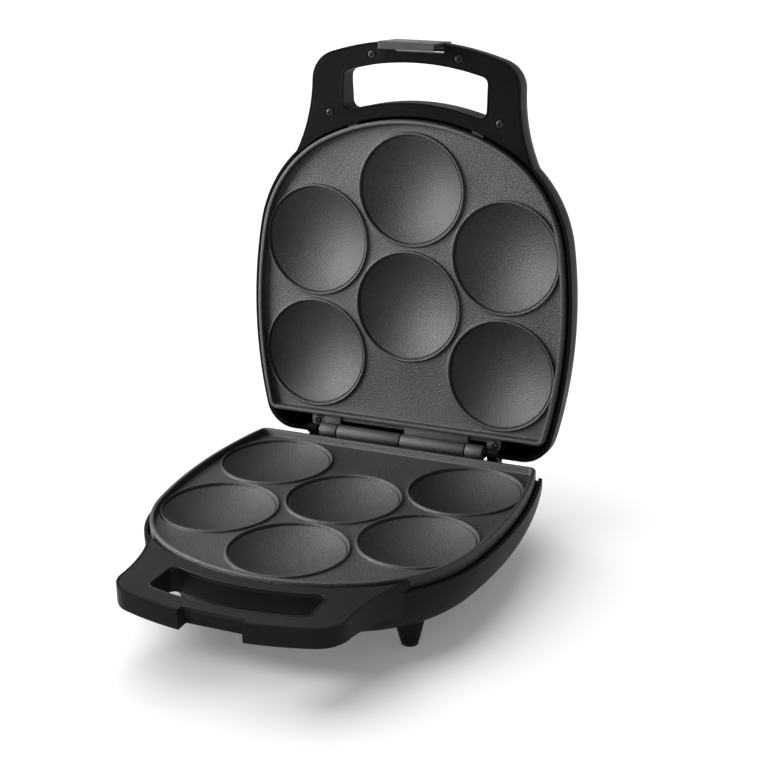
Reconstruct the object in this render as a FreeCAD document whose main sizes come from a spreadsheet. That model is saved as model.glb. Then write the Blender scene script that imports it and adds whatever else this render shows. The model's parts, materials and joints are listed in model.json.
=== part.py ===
import FreeCAD, Part
import Sketcher
import math
import os
import re

# A clamshell electric maker for six small round cakes: two identical cast plates with
# round bowls, hinged at the back and carried in a base tub and a lid, each with a loop handle.
#
# Every piece is drawn in the hinge frame, in millimetres: X to the right, Y to the back,
# Z up, and the origin in the middle of the hinge axis. The parting plane of the closed
# plates is Z = 0. The lid's pieces are drawn as if they were base pieces, below Z = 0, and
# their placement turns them half a turn about Y and then opens them about the hinge axis.

doc = FreeCAD.newDocument("cake_maker")
sheet = doc.addObject("Spreadsheet::Sheet", "dims")

DIMENSIONS = [
    # stance
    ("hinge_height", 57.0),
    ("lid_open_angle", 96.35),
    ("parting_gap", 0.3),
    # plan of the cast plate: rear edge, flank, shoulder and front arcs
    ("plate_half_width", 112.5),
    ("plate_front_reach", 220.0),
    ("plate_rear_reach", 10.0),
    ("widest_reach", 92.0),
    ("side_radius", 321.0),
    ("shoulder_radius", 85.0),
    ("front_radius", 138.0),
    ("plate_corner_radius", 6.0),
    # section of the cast plate
    ("deck_depth", 5.0),
    ("deck_wall", 2.4),
    ("rim_width", 3.0),
    ("skirt_depth", 12.0),
    ("skirt_wall", 2.2),
    # bowls
    ("bowl_pitch", 79.6),
    ("bowl_centre_reach", 93.7),
    ("bowl_mouth_radius", 36.0),
    ("bowl_depth", 12.0),
    ("bead_offset", 1.1),
    ("bead_radius", 0.9),
    # hinge
    ("barrel_radius", 5.0),
    ("barrel_half_span", 61.0),
    ("barrel_outer_length", 13.0),
    ("barrel_gap", 0.4),
    ("pin_radius", 2.0),
    ("pin_clearance", 0.05),
    ("flange_wall", 3.0),
    ("ear_across", 66.5),
    ("ear_reach", 5.2),
    ("ear_radius", 4.6),
    ("lug_across", 45.0),
    ("lug_width", 8.0),
    ("lug_reach", 10.0),
    ("lug_drop", 2.4),
    ("lug_wall", 2.5),
    ("lug_clearance", 0.5),
    # housings
    ("housing_grow", 4.0),
    ("housing_wall", 2.5),
    ("base_rear", 2.0),
    ("lid_rear", 4.0),
    ("base_corner_radius", 15.0),
    ("lid_corner_radius", 22.0),
    ("wall_straight_to", 12.0),
    ("wall_curve", 30.0),
    ("base_rim_drop", 8.0),
    ("lid_rim_drop", 5.0),
    ("plate_gap", 1.5),
    # handles
    ("handle_root_half", 87.0),
    ("handle_root_reach", 191.0),
    ("handle_half_width", 74.5),
    ("handle_front_reach", 271.5),
    ("handle_front_radius", 195.0),
    ("handle_corner_radius", 20.0),
    ("handle_wall", 2.5),
    ("base_handle_drop", 2.0),
    ("base_handle_height", 12.5),
    ("lid_handle_drop", 5.0),
    ("lid_handle_height", 15.5),
    ("cover_wall", 2.2),
    ("cover_inset", 1.4),
    ("cover_clearance", 0.2),
    ("grip_half_width", 51.5),
    ("grip_outer_inset", 14.5),
    ("grip_inner_inset", 40.5),
    ("grip_corner_radius", 5.0),
    ("handle_overlap", 21.0),
    ("fairing_start", 243.0),
    ("fairing_knee", 205.0),
    ("fairing_knee_drop", 6.5),
    ("fairing_end", 164.0),
    ("fairing_end_rise", 8.0),
    ("cover_screw_across", 61.0),
    ("cover_screw_reach", 221.0),
    ("bar_screw_across", 31.0),
    ("bar_screw_reach", 261.0),
    # latch
    ("latch_half_width", 19.6),
    ("latch_side_gap", 0.8),
    ("latch_face_inset", 0.4),
    ("latch_wall", 2.8),
    ("latch_pivot_inset", 3.9),
    ("latch_pivot_height", 13.0),
    ("latch_barrel_radius", 3.0),
    ("latch_pin_radius", 1.2),
    ("latch_room_depth", 7.8),
    ("latch_tip_drop", 11.0),
    ("latch_barb_height", 1.8),
    ("latch_barb_length", 2.2),
    ("latch_groove_drop", 4.2),
    ("latch_groove_width", 2.0),
    ("notch_half_width", 20.6),
    ("notch_depth", 5.9),
    ("notch_ledge", 8.5),
    ("notch_undercut", 4.2),
    # feet
    ("foot_across", 76.0),
    ("front_foot_reach", 165.0),
    ("rear_foot_reach", 28.0),
    ("foot_top_radius", 10.0),
    ("foot_tip_radius", 5.8),
    ("foot_pad_height", 2.0),
    ("foot_sink", 3.8),
    ("foot_peg_radius", 2.0),
    ("lid_stop_across", 67.0),
    ("lid_stop_width", 8.0),
    ("lid_stop_reach", 6.0),
    ("hinge_bump_radius", 3.2),
    # screws
    ("screw_radius", 1.6),
    ("screw_head_radius", 3.0),
    ("screw_head_height", 1.8),
    ("screw_fit", 0.15),
    ("thread_fit", 0.05),
    # heating element and what is round it
    ("element_radius", 3.25),
    ("element_ring_radius", 42.0),
    ("element_seat", 0.3),
    ("element_gap_angle", 60.0),
    ("element_leg", 11.0),
    ("clamp_wall", 1.2),
    ("clamp_width", 9.0),
    ("boss_radius", 3.5),
    ("shield_wall", 0.8),
    ("shield_drop", 27.0),
    ("shield_inset", 14.0),
    ("shield_post_across", 58.0),
    ("shield_post_rear", 60.0),
    ("shield_post_front", 140.0),
    ("thermostat_radius", 8.0),
    ("thermostat_height", 7.0),
    ("thermostat_reach", 34.0),
    ("thermostat_tab_spread", 4.0),
    ("contact_gap", 0.05),
    ("fuse_radius", 2.2),
    ("fuse_length", 14.0),
    ("fuse_lead_radius", 0.6),
    ("fuse_lead_length", 26.0),
    ("fuse_across", 4.0),
    ("fuse_reach", 52.0),
    ("terminal_length", 26.0),
    ("terminal_width", 14.0),
    ("terminal_height", 10.0),
    ("terminal_across", 28.0),
    ("terminal_reach", 56.0),
    ("terminal_pitch", 8.0),
    ("terminal_well_radius", 2.4),
    # cord inlet
    ("gland_radius", 5.5),
    ("gland_across", 45.0),
    ("gland_drop", 27.0),
    ("gland_flange", 2.5),
    ("gland_wall", 2.0),
    ("gland_seat_depth", 10.0),
    # lamps in the lid
    ("lamp_radius", 4.0),
    ("lamp_across", 12.0),
    ("lamp_reach", 150.0),
]
for row, (alias, value) in enumerate(DIMENSIONS, start=1):
    sheet.set("A%d" % row, alias)
    sheet.set("B%d" % row, str(value))
    sheet.setAlias("B%d" % row, alias)
doc.recompute()


ALIASES = {alias for alias, value in DIMENSIONS}


def D(text):
    """Writes each sheet alias in an expression with the sheet's name in front of it."""
    named = re.sub(r"[a-z_]\w*", lambda m: "dims." * (m.group() in ALIASES) + m.group(), text)
    return re.sub(r"(sqrt|asin|sin|cos) \(", r"\1(", named)


def value_of(text):
    """The number that an expression gives with the sheet's present values."""
    return float(sheet.evalExpression(D(text)))


def bind(obj, prop, text):
    obj.setExpression(prop, D(text))


# ---------------------------------------------------------------- building blocks

def place(obj, x="0", y="0", z="0"):
    """Binds the three coordinates of an object's position to the sheet."""
    bind(obj, "Placement.Base.x", x)
    bind(obj, "Placement.Base.y", y)
    bind(obj, "Placement.Base.z", z)


def box(name, x, y, z):
    """A block between the two expressions given for each axis."""
    obj = doc.addObject("Part::Box", name)
    for side, (low, high) in zip(("Length", "Width", "Height"), (x, y, z)):
        bind(obj, side, "( %s ) - ( %s )" % (high, low))
    place(obj, x[0], y[0], z[0])
    return obj


AXIS_TURNS = {
    "Z": FreeCAD.Rotation(),
    "-Z": FreeCAD.Rotation(FreeCAD.Vector(1, 0, 0), 180),
    "X": FreeCAD.Rotation(FreeCAD.Vector(0, 1, 0), 90),
    "Y": FreeCAD.Rotation(FreeCAD.Vector(1, 0, 0), -90),
    "-Y": FreeCAD.Rotation(FreeCAD.Vector(1, 0, 0), 90),
}


def cylinder(name, radius, height, x, y, z, axis="Z"):
    obj = doc.addObject("Part::Cylinder", name)
    obj.Placement = FreeCAD.Placement(FreeCAD.Vector(), AXIS_TURNS[axis])
    bind(obj, "Radius", radius)
    bind(obj, "Height", height)
    place(obj, x, y, z)
    return obj


def cone(name, low_radius, high_radius, height, x, y, z, axis="Z"):
    obj = doc.addObject("Part::Cone", name)
    obj.Placement = FreeCAD.Placement(FreeCAD.Vector(), AXIS_TURNS[axis])
    bind(obj, "Radius1", low_radius)
    bind(obj, "Radius2", high_radius)
    bind(obj, "Height", height)
    place(obj, x, y, z)
    return obj


def fuse(name, pieces):
    obj = doc.addObject("Part::MultiFuse", name)
    obj.Shapes = pieces
    obj.Refine = True
    return obj


def cut(name, base, tools):
    """Takes one tool, or several fused into one, out of a base."""
    obj = doc.addObject("Part::Cut", name)
    obj.Base = base
    obj.Tool = tools[0] if len(tools) == 1 else fuse(name + "_tools", tools)
    obj.Refine = True
    return obj


def common(name, first, second):
    obj = doc.addObject("Part::Common", name)
    obj.Base = first
    obj.Tool = second
    return obj


def compound(name, pieces):
    """Keeps several separate solids together as one group."""
    obj = doc.addObject("Part::Compound", name)
    obj.Links = pieces
    return obj


def extrude(name, sketch, length, up=False):
    """A prism from a sketch along its normal, downwards unless up is set."""
    obj = doc.addObject("Part::Extrusion", name)
    obj.Base = sketch
    obj.DirMode = "Normal"
    obj.Solid = True
    obj.Reversed = not up
    bind(obj, "LengthFwd", length)
    return obj


def loft(name, sketches):
    obj = doc.addObject("Part::Loft", name)
    obj.Sections = sketches
    obj.Solid = True
    obj.Ruled = False
    return obj


# ---------------------------------------------------------------- outline sketches

def vec(x, y):
    return FreeCAD.Vector(x, y, 0)


def towards(centre, point, radius):
    """The point at a distance from a centre in another point's direction."""
    step = point.sub(centre)
    return centre.add(step.multiply(radius / step.Length))


def circle_meet(c1, r1, c2, r2, right):
    """One meeting point of two circles; right picks the one on that side of c1 to c2."""
    axis = c2.sub(c1)
    gap = axis.Length
    along = (r1 * r1 - r2 * r2 + gap * gap) / (2 * gap)
    across = math.sqrt(r1 * r1 - along * along)
    unit = vec(axis.x / gap, axis.y / gap)
    side = vec(unit.y, -unit.x) if right else vec(-unit.y, unit.x)
    return vec(c1.x + unit.x * along + side.x * across, c1.y + unit.y * along + side.y * across)


class Outline:
    """A closed sketch of lines and arcs, walked anticlockwise, with every size in the sheet."""

    def __init__(self, name, height):
        self.sketch = doc.addObject("Sketcher::SketchObject", name)
        bind(self.sketch, "Placement.Base.z", height)
        self.ends = []

    def size(self, kind, places, text, start_value):
        number = self.sketch.addConstraint(Sketcher.Constraint(kind, *places, start_value))
        self.sketch.renameConstraint(number, "size%d" % number)
        bind(self.sketch, "Constraints.size%d" % number, text)

    def line(self, start, end):
        number = self.sketch.addGeometry(Part.LineSegment(start, end), False)
        self.ends.append((number, 1, 2))
        return number

    def arc(self, centre, start, end, hollow=False):
        """An arc from start to end; a hollow one is walked clockwise."""
        first, last = (end, start) if hollow else (start, end)
        circle = Part.Circle(centre, FreeCAD.Vector(0, 0, 1), first.sub(centre).Length)
        a = math.atan2(first.y - centre.y, first.x - centre.x)
        b = math.atan2(last.y - centre.y, last.x - centre.x)
        if b < a:
            b += 2 * math.pi
        number = self.sketch.addGeometry(Part.ArcOfCircle(circle, a, b), False)
        self.ends.append((number, 2, 1) if hollow else (number, 1, 2))
        return number

    def radius(self, number, text):
        self.size("Radius", (number,), text, value_of(text))

    def point(self, number, where, x=None, y=None):
        if x is not None:
            self.size("DistanceX", (-1, 1, number, where), x, value_of(x))
        if y is not None:
            self.size("DistanceY", (-1, 1, number, where), y, value_of(y))

    def close(self, sharp=()):
        """Joins each stretch to the next: tangent, or only meeting where listed as sharp."""
        count = len(self.ends)
        for index in range(count):
            number, _, tail = self.ends[index]
            other, head, _ = self.ends[(index + 1) % count]
            kind = "Coincident" if index in sharp else "Tangent"
            self.sketch.addConstraint(Sketcher.Constraint(kind, number, tail, other, head))
        return self.sketch


def tray_outline(name, height, grow, rear, corner):
    """The plan of the plate grown outwards, with its own rear edge and rear corner radius."""
    g = value_of(grow)
    rear_y = value_of(rear)
    corner_r = value_of(corner)
    side_r = value_of("side_radius") + g
    shoulder_r = value_of("shoulder_radius") + g
    front_r = value_of("front_radius") + g
    side_c = vec(value_of("plate_half_width - side_radius"), -value_of("widest_reach"))
    front_c = vec(0, value_of("front_radius - plate_front_reach"))
    shoulder_c = circle_meet(side_c, side_r - shoulder_r, front_c, front_r - shoulder_r, True)
    if shoulder_c.x < 0 or shoulder_c.y > front_c.y:
        shoulder_c = circle_meet(side_c, side_r - shoulder_r, front_c, front_r - shoulder_r, False)
    rise = rear_y - corner_r - side_c.y
    corner_c = vec(side_c.x + math.sqrt((side_r - corner_r) ** 2 - rise ** 2), rear_y - corner_r)
    rear_end = vec(corner_c.x, rear_y)
    side_top = towards(side_c, corner_c, side_r)
    side_low = towards(side_c, shoulder_c, side_r)
    front_end = towards(front_c, shoulder_c, front_r)

    def left(p):
        return vec(-p.x, p.y)

    out = Outline(name, height)
    rear_line = out.line(rear_end, left(rear_end))
    left_corner = out.arc(left(corner_c), left(rear_end), left(side_top))
    left_side = out.arc(left(side_c), left(side_top), left(side_low))
    left_shoulder = out.arc(left(shoulder_c), left(side_low), left(front_end))
    front = out.arc(front_c, left(front_end), front_end)
    right_shoulder = out.arc(shoulder_c, front_end, side_low)
    right_side = out.arc(side_c, side_low, side_top)
    right_corner = out.arc(corner_c, side_top, rear_end)
    sketch = out.close()
    sketch.addConstraint(Sketcher.Constraint("Horizontal", rear_line))
    out.point(rear_line, 1, y=rear)
    for number, sign in ((left_side, "-1"), (right_side, "1")):
        out.point(number, 3, "%s * ( plate_half_width - side_radius )" % sign, "0 - widest_reach")
        out.radius(number, "side_radius + ( %s )" % grow)
    for number in (left_shoulder, right_shoulder):
        out.radius(number, "shoulder_radius + ( %s )" % grow)
    for number in (left_corner, right_corner):
        out.radius(number, corner)
    out.point(front, 3, "0", "front_radius - plate_front_reach")
    out.radius(front, "front_radius + ( %s )" % grow)
    return sketch


# The handle's front arc, the grip opening and the cover share one centre on the mid-plane.
HANDLE_CENTRE = "( handle_front_radius - handle_front_reach )"
CORNER_ACROSS = "( handle_half_width - handle_corner_radius )"
CORNER_Y = "( %s - sqrt ( ( handle_front_radius - handle_corner_radius ) ^ 2 - %s ^ 2 ) )" % (
    HANDLE_CENTRE, CORNER_ACROSS)
FLARE = "( handle_root_half - handle_half_width )"
FLANK_RISE = "( 0 - handle_root_reach - %s )" % CORNER_Y
FLANK_RADIUS = "( ( %s ^ 2 + %s ^ 2 ) / ( 2 * %s ) )" % (FLARE, FLANK_RISE, FLARE)
HANDLE_BACK = "( 0 - handle_root_reach + handle_overlap )"
TUB_BOTTOM = "( wall_straight_to + wall_curve )"


def handle_outline(name, height, grow):
    """The plan of a handle: hollow flanks from the root, round corners and a front arc."""
    g = value_of(grow)
    centre = vec(0, value_of(HANDLE_CENTRE))
    corner_c = vec(value_of(CORNER_ACROSS), value_of(CORNER_Y))
    flank_c = vec(value_of("handle_half_width + %s" % FLANK_RADIUS), corner_c.y)
    flank_r = value_of(FLANK_RADIUS) - g
    front_r = value_of("handle_front_radius") + g
    root_y = -value_of("handle_root_reach")
    root = vec(flank_c.x - math.sqrt(flank_r ** 2 - (root_y - flank_c.y) ** 2), root_y)
    waist = vec(value_of("handle_half_width") + g, corner_c.y)
    front_end = towards(centre, corner_c, front_r)
    back = vec(root.x, value_of(HANDLE_BACK))

    def left(p):
        return vec(-p.x, p.y)

    out = Outline(name, height)
    back_line = out.line(back, left(back))
    left_line = out.line(left(back), left(root))
    left_flank = out.arc(left(flank_c), left(root), left(waist), hollow=True)
    left_corner = out.arc(left(corner_c), left(waist), left(front_end))
    front = out.arc(centre, left(front_end), front_end)
    right_corner = out.arc(corner_c, front_end, waist)
    right_flank = out.arc(flank_c, waist, root, hollow=True)
    right_line = out.line(root, back)
    sketch = out.close(sharp=(0, 1, 6, 7))
    sketch.addConstraint(Sketcher.Constraint("Horizontal", back_line))
    sketch.addConstraint(Sketcher.Constraint("Vertical", left_line))
    sketch.addConstraint(Sketcher.Constraint("Vertical", right_line))
    out.point(back_line, 1, y=HANDLE_BACK)
    for number, where, sign in ((left_flank, 2, "-1"), (right_flank, 1, "1")):
        out.point(number, 3, "%s * ( handle_half_width + %s )" % (sign, FLANK_RADIUS), CORNER_Y)
        out.radius(number, "%s - ( %s )" % (FLANK_RADIUS, grow))
        out.point(number, where, y="0 - handle_root_reach")
    for number in (left_corner, right_corner):
        out.radius(number, "handle_corner_radius + ( %s )" % grow)
    out.point(front, 3, "0", HANDLE_CENTRE)
    out.radius(front, "handle_front_radius + ( %s )" % grow)
    return sketch


def grip_outline(name, height, grow):
    """The plan of the finger opening: two arcs round the handle's centre and round corners."""
    outer = "handle_front_radius - grip_outer_inset + ( %s )" % grow
    inner = "handle_front_radius - grip_inner_inset - ( %s )" % grow
    corner = "grip_corner_radius + ( %s )" % grow
    half = "grip_half_width + ( %s )" % grow
    outer_r = value_of(outer)
    inner_r = value_of(inner)
    corner_r = value_of(corner)
    half_w = value_of(half)
    centre = vec(0, value_of(HANDLE_CENTRE))
    across = half_w - corner_r
    low_c = vec(across, centre.y - math.sqrt((outer_r - corner_r) ** 2 - across ** 2))
    high_c = vec(across, centre.y - math.sqrt((inner_r + corner_r) ** 2 - across ** 2))
    outer_end = towards(centre, low_c, outer_r)
    inner_end = towards(centre, high_c, inner_r)
    low_side = vec(half_w, low_c.y)
    high_side = vec(half_w, high_c.y)

    def left(p):
        return vec(-p.x, p.y)

    out = Outline(name, height)
    inner_arc = out.arc(centre, inner_end, left(inner_end), hollow=True)
    corners = [out.arc(left(high_c), left(inner_end), left(high_side))]
    left_line = out.line(left(high_side), left(low_side))
    corners.append(out.arc(left(low_c), left(low_side), left(outer_end)))
    outer_arc = out.arc(centre, left(outer_end), outer_end)
    corners.append(out.arc(low_c, outer_end, low_side))
    right_line = out.line(low_side, high_side)
    corners.append(out.arc(high_c, high_side, inner_end))
    sketch = out.close()
    for number in corners:
        out.radius(number, corner)
    for number, text in ((inner_arc, inner), (outer_arc, outer)):
        out.point(number, 3, "0", HANDLE_CENTRE)
        out.radius(number, text)
    for number, sign in ((left_line, "-1"), (right_line, "1")):
        sketch.addConstraint(Sketcher.Constraint("Vertical", number))
        out.point(number, 1, x="%s * ( %s )" % (sign, half))
    return sketch


def fairing_profile(name, lift, handle_bottom):
    """What lies under a handle, seen from the side, lifted by a wall: it is taken away."""
    start_y = "0 - fairing_start"
    knee_y = "0 - fairing_knee"
    end_y = "0 - fairing_end"
    far_y = "0 - handle_front_reach - 30"
    top_z = "( %s ) - ( %s )" % (lift, handle_bottom)
    knee_z = "%s - fairing_knee_drop" % top_z
    end_z = "( %s ) - %s + fairing_end_rise" % (lift, TUB_BOTTOM)
    deep_z = "0 - %s - 30" % TUB_BOTTOM
    corners = [(start_y, top_z), (far_y, top_z), (far_y, deep_z), (end_y, deep_z), (end_y, end_z),
               (knee_y, knee_z)]
    sketch = doc.addObject("Sketcher::SketchObject", name)
    sketch.Placement = FreeCAD.Placement(
        FreeCAD.Vector(), FreeCAD.Rotation(FreeCAD.Vector(1, 1, 1), 120))
    points = [vec(value_of(y), value_of(z)) for y, z in corners]
    for index, point in enumerate(points):
        sketch.addGeometry(Part.LineSegment(point, points[(index + 1) % len(points)]), False)
    for index in range(len(points)):
        following = (index + 1) % len(points)
        sketch.addConstraint(Sketcher.Constraint("Coincident", index, 2, following, 1))
    for index, (y, z) in enumerate(corners):
        for kind, text in (("DistanceX", y), ("DistanceY", z)):
            number = sketch.addConstraint(
                Sketcher.Constraint(kind, -1, 1, index, 1, value_of(text)))
            sketch.renameConstraint(number, "size%d" % number)
            bind(sketch, "Constraints.size%d" % number, text)
    bind(sketch, "Placement.Base.x", "0 - handle_root_half - 40")
    return extrude(name + "_block", sketch, "2 * ( handle_root_half + 40 )", up=True)


# ---------------------------------------------------------------- cast plates

# Bowl centres: one in the middle, one in front of it, and two pairs at the sides.
ROW = "( bowl_pitch / 2 )"
COLUMN = "( bowl_pitch * sqrt ( 3 ) / 2 )"
BOWLS = [("0", "bowl_centre_reach"), ("0", "bowl_centre_reach + bowl_pitch")]
for side in ("-1", "1"):
    for step in ("-1", "1"):
        BOWLS.append(("%s * %s" % (side, COLUMN), "bowl_centre_reach + %s * %s" % (step, ROW)))

BOWL_RADIUS = "( ( bowl_mouth_radius ^ 2 + bowl_depth ^ 2 ) / ( 2 * bowl_depth ) )"
DECK_UNDER = "( deck_depth + deck_wall )"

# Element clamps sit in the three-sided gaps between bowls, on bosses just outside the ring.
CLAMP_ANGLES = (180, 240, 300, 0)
BOSS_RING = "( element_ring_radius + element_radius + boss_radius + 1.2 )"
RING_UNDER = "( deck_depth + deck_wall + 2 * element_radius + element_seat )"


def sphere_cap(name, radius, x, reach, bottom, top):
    """The part of a ball from its lowest point up to a level; both are depths below Z = 0."""
    obj = doc.addObject("Part::Sphere", name)
    bind(obj, "Radius", radius)
    obj.Angle1 = -90
    bind(obj, "Angle2", "asin ( ( ( %s ) - ( %s ) ) / ( %s ) - 1 )" % (bottom, top, radius))
    place(obj, x, "0 - ( %s )" % reach, "( %s ) - ( %s )" % (radius, bottom))
    return obj


def knuckle(name, x_low, x_high):
    """One hinge barrel with the web that joins it to the plate's rear flange."""
    barrel = cylinder(name + "_barrel", "barrel_radius", "( %s ) - ( %s )" % (x_high, x_low),
                      x_low, "0", "0", axis="X")
    web = box(name + "_web", (x_low, x_high), ("0 - plate_rear_reach - 1", "0"),
              ("0 - deck_depth - flange_wall", "0 - barrel_radius * 0.72"))
    return [barrel, web]


def cast_plate(name):
    """A plate: rim, deck with six round bowls, skirt, hinge knuckles and two screw ears."""
    top = "0 - parting_gap / 2"
    rear = "0 - plate_rear_reach"
    block = extrude(name + "_block", tray_outline(
        name + "_outer", top, "0", rear, "plate_corner_radius"), "skirt_depth - parting_gap / 2")
    tray = extrude(name + "_tray", tray_outline(
        name + "_inner", top, "0 - rim_width", "%s - rim_width" % rear, "plate_corner_radius"),
        "deck_depth - parting_gap / 2")
    under = extrude(name + "_under", tray_outline(
        name + "_lower", "0 - skirt_depth", "0 - skirt_wall", "%s - skirt_wall" % rear,
        "plate_corner_radius"), "skirt_depth - %s" % DECK_UNDER, up=True)
    shell = cut(name + "_shell", block, [tray, under])
    added = [shell]
    hollows = []
    outer = "( %s + deck_wall )" % BOWL_RADIUS
    for index, (x, reach) in enumerate(BOWLS, start=1):
        tag = "%s_bowl%d" % (name, index)
        added.append(sphere_cap(tag + "_outside", outer, x, reach,
                                "deck_depth + bowl_depth + deck_wall", "deck_depth + deck_wall / 2"))
        bead = doc.addObject("Part::Torus", tag + "_bead")
        bind(bead, "Radius1", "bowl_mouth_radius + bead_offset")
        bind(bead, "Radius2", "bead_radius")
        place(bead, x, "0 - ( %s )" % reach, "0 - deck_depth")
        added.append(bead)
        hollows.append(sphere_cap(tag + "_inside", BOWL_RADIUS, x, reach,
                                  "deck_depth + bowl_depth", "deck_depth - 2"))
    inner_end = "0 - barrel_gap / 2"
    outer_start = "barrel_half_span - barrel_outer_length + barrel_gap / 2"
    added += knuckle(name + "_inner_knuckle",
                     "0 - barrel_half_span + barrel_outer_length + barrel_gap / 2", inner_end)
    added += knuckle(name + "_outer_knuckle", outer_start, "barrel_half_span")
    added.append(box(name + "_flange", ("0 - ear_across", "ear_across"),
                     ("0 - plate_rear_reach - 1", "0 - barrel_radius - 1.2"),
                     ("0 - deck_depth - flange_wall", "0 - deck_depth")))
    for side in ("-1", "1"):
        tag = "%s_ear_%s" % (name, "left" if side == "-1" else "right")
        across = "%s * ear_across" % side
        added.append(cylinder(tag, "ear_radius", "flange_wall", across, "0 - ear_reach",
                              "0 - deck_depth - flange_wall"))
        hollows.append(cylinder(tag + "_hole", "screw_radius + screw_fit", "flange_wall + 2",
                                across, "0 - ear_reach", "0 - deck_depth - flange_wall - 1"))
        hollows.append(cylinder(tag + "_seat", "screw_head_radius + screw_fit", "5", across,
                                "0 - ear_reach", "0 - deck_depth - screw_head_height / 2"))
    for index, angle in enumerate(CLAMP_ANGLES, start=1):
        x, y = ring_point(BOSS_RING, angle)
        tag = "%s_boss%d" % (name, index)
        added.append(cylinder(tag, "boss_radius", "%s - deck_depth - deck_wall / 2" % RING_UNDER,
                              x, y, "0 - %s" % RING_UNDER))
        hollows.append(cylinder(tag + "_hole", "screw_radius", "2 * element_radius", x, y,
                                "0 - %s" % RING_UNDER))
    hollows.append(cylinder(name + "_pin_bore", "pin_radius + pin_clearance",
                            "2 * barrel_half_span + 4", "0 - barrel_half_span - 2", "0", "0",
                            axis="X"))
    return cut(name, fuse(name + "_solid", added), hollows)


def ring_point(radius, angle):
    """A point on a circle round the middle bowl, at an angle from the right-hand side."""
    return ("( %s ) * cos ( %d deg )" % (radius, angle),
            "0 - bowl_centre_reach + ( %s ) * sin ( %d deg )" % (radius, angle))


# ---------------------------------------------------------------- tubs of the base and the lid

# Both the tub's wall and the handle's sides are upright at first and then curve inwards.
TUB_ANGLES = (0, 20, 40, 60, 76, 90)
HANDLE_ANGLES = (0, 18, 36, 54)


def curved_sides(name, drop, grow, curve, angles, outline):
    """A block with an upright wall below a level, then a rounded one; outline draws its plans."""
    straight = extrude(name + "_wall", outline(name + "_top", "0 - ( %s )" % drop, grow, "0"),
                       "wall_straight_to - ( %s )" % drop)
    sections = []
    for angle in angles:
        inset = "( %s ) * ( 1 - cos ( %d deg ) )" % (curve, angle)
        depth = "wall_straight_to + ( %s ) * sin ( %d deg )" % (curve, angle)
        sections.append(outline("%s_section%d" % (name, angle), "0 - ( %s )" % depth,
                                "( %s ) - %s" % (grow, inset), inset))
    return fuse(name, [straight, loft(name + "_bowl", sections)])


def tub_solid(name, drop, grow, curve, rear, corner):
    """A bowl-sided block that follows the plate's plan, with its own rear edge and corners."""
    return curved_sides(name, drop, grow, curve, TUB_ANGLES, lambda sketch, height, size, inset:
                        tray_outline(sketch, height, size, "( %s ) - %s" % (rear, inset), corner))


def handle_solid(name, drop, grow, curve):
    """The block that a handle is cut from; its sides curve in as the tub's wall does."""
    return curved_sides(name, drop, grow, curve, HANDLE_ANGLES, lambda sketch, height, size, inset:
                        handle_outline(sketch, height, size))


def housing(name, rim_drop, handle_drop, handle_height, rear, corner):
    """A moulded shell: the tub and its hollow handle with a finger opening."""
    bottom = "( %s ) + ( %s )" % (handle_drop, handle_height)
    outside = tub_solid(name + "_tub", rim_drop, "housing_grow", "wall_curve", rear, corner)
    cavity = tub_solid(name + "_cavity", "0 - 1", "housing_grow - housing_wall",
                       "wall_curve - housing_wall", "%s - housing_wall" % rear, corner)
    handle = cut(name + "_handle", handle_solid(name + "_handle_block", handle_drop, "0", "wall_curve"),
                 [fairing_profile(name + "_fairing", "0", bottom)])
    core = cut(name + "_core", handle_solid(
        name + "_core_block", "( %s ) - 1" % handle_drop, "0 - handle_wall",
        "wall_curve - handle_wall"), [
        fairing_profile(name + "_core_fairing", "handle_wall", bottom),
        extrude(name + "_grip_wall", grip_outline(
            name + "_grip_wall_outline", "5", "handle_wall"), "%s + 10" % TUB_BOTTOM),
        tub_solid(name + "_front_wall", "0 - 3", "housing_grow", "wall_curve", rear, corner),
        box(name + "_keeper", ("0 - notch_half_width - 4", "notch_half_width + 4"),
            ("0 - handle_front_reach - 5", "0 - handle_front_reach + grip_outer_inset"),
            ("0 - %s" % TUB_BOTTOM, "5")),
    ])
    ledge = extrude(name + "_ledge", handle_outline(
        name + "_ledge_outline", "0 - ( %s ) + 1" % handle_drop, "0 - cover_inset"),
        "cover_wall + 1")
    grip = extrude(name + "_grip", grip_outline(name + "_grip_outline", "5", "0"),
                   "%s + 10" % TUB_BOTTOM)
    recess = extrude(name + "_recess", tray_outline(
        name + "_recess_outline", "5", "plate_gap", "0 - plate_rear_reach + plate_gap",
        "plate_corner_radius"), "skirt_depth + 6")
    return cut(name + "_shell", fuse(name + "_solid", [outside, handle]),
               [cavity, core, ledge, grip, recess])


def screw(name, x, y, z, length, head_up=True):
    """A pan-head screw; z is the underside of its head."""
    axis, head_axis = ("-Z", "Z") if head_up else ("Z", "-Z")
    shank = cylinder(name + "_shank", "screw_radius", length, x, y, z, axis)
    head = cylinder(name + "_head", "screw_head_radius", "screw_head_height", x, y, z, head_axis)
    return fuse(name, [shank, head])


# Screws that hold a handle's cover: two at the roots and two in the bar.
COVER_SCREWS = []
for side in ("-1", "1"):
    COVER_SCREWS.append(("%s * cover_screw_across" % side, "0 - cover_screw_reach"))
    COVER_SCREWS.append(("%s * bar_screw_across" % side, "0 - bar_screw_reach"))
SLOPE = "( fairing_knee_drop / ( fairing_start - fairing_knee ) )"


def bore(name, x, y, top, depth):
    """A hole that a screw's thread bites into; top is a depth below Z = 0."""
    return cylinder(name, "screw_radius + thread_fit", depth, x, y,
                    "0 - ( %s ) - ( %s )" % (top, depth))


NODES = []


def node(obj, label, lid=False):
    """Names a finished piece after its node and notes which body it rides on."""
    obj.Label = label
    NODES.append((obj, lid))
    return obj


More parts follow.
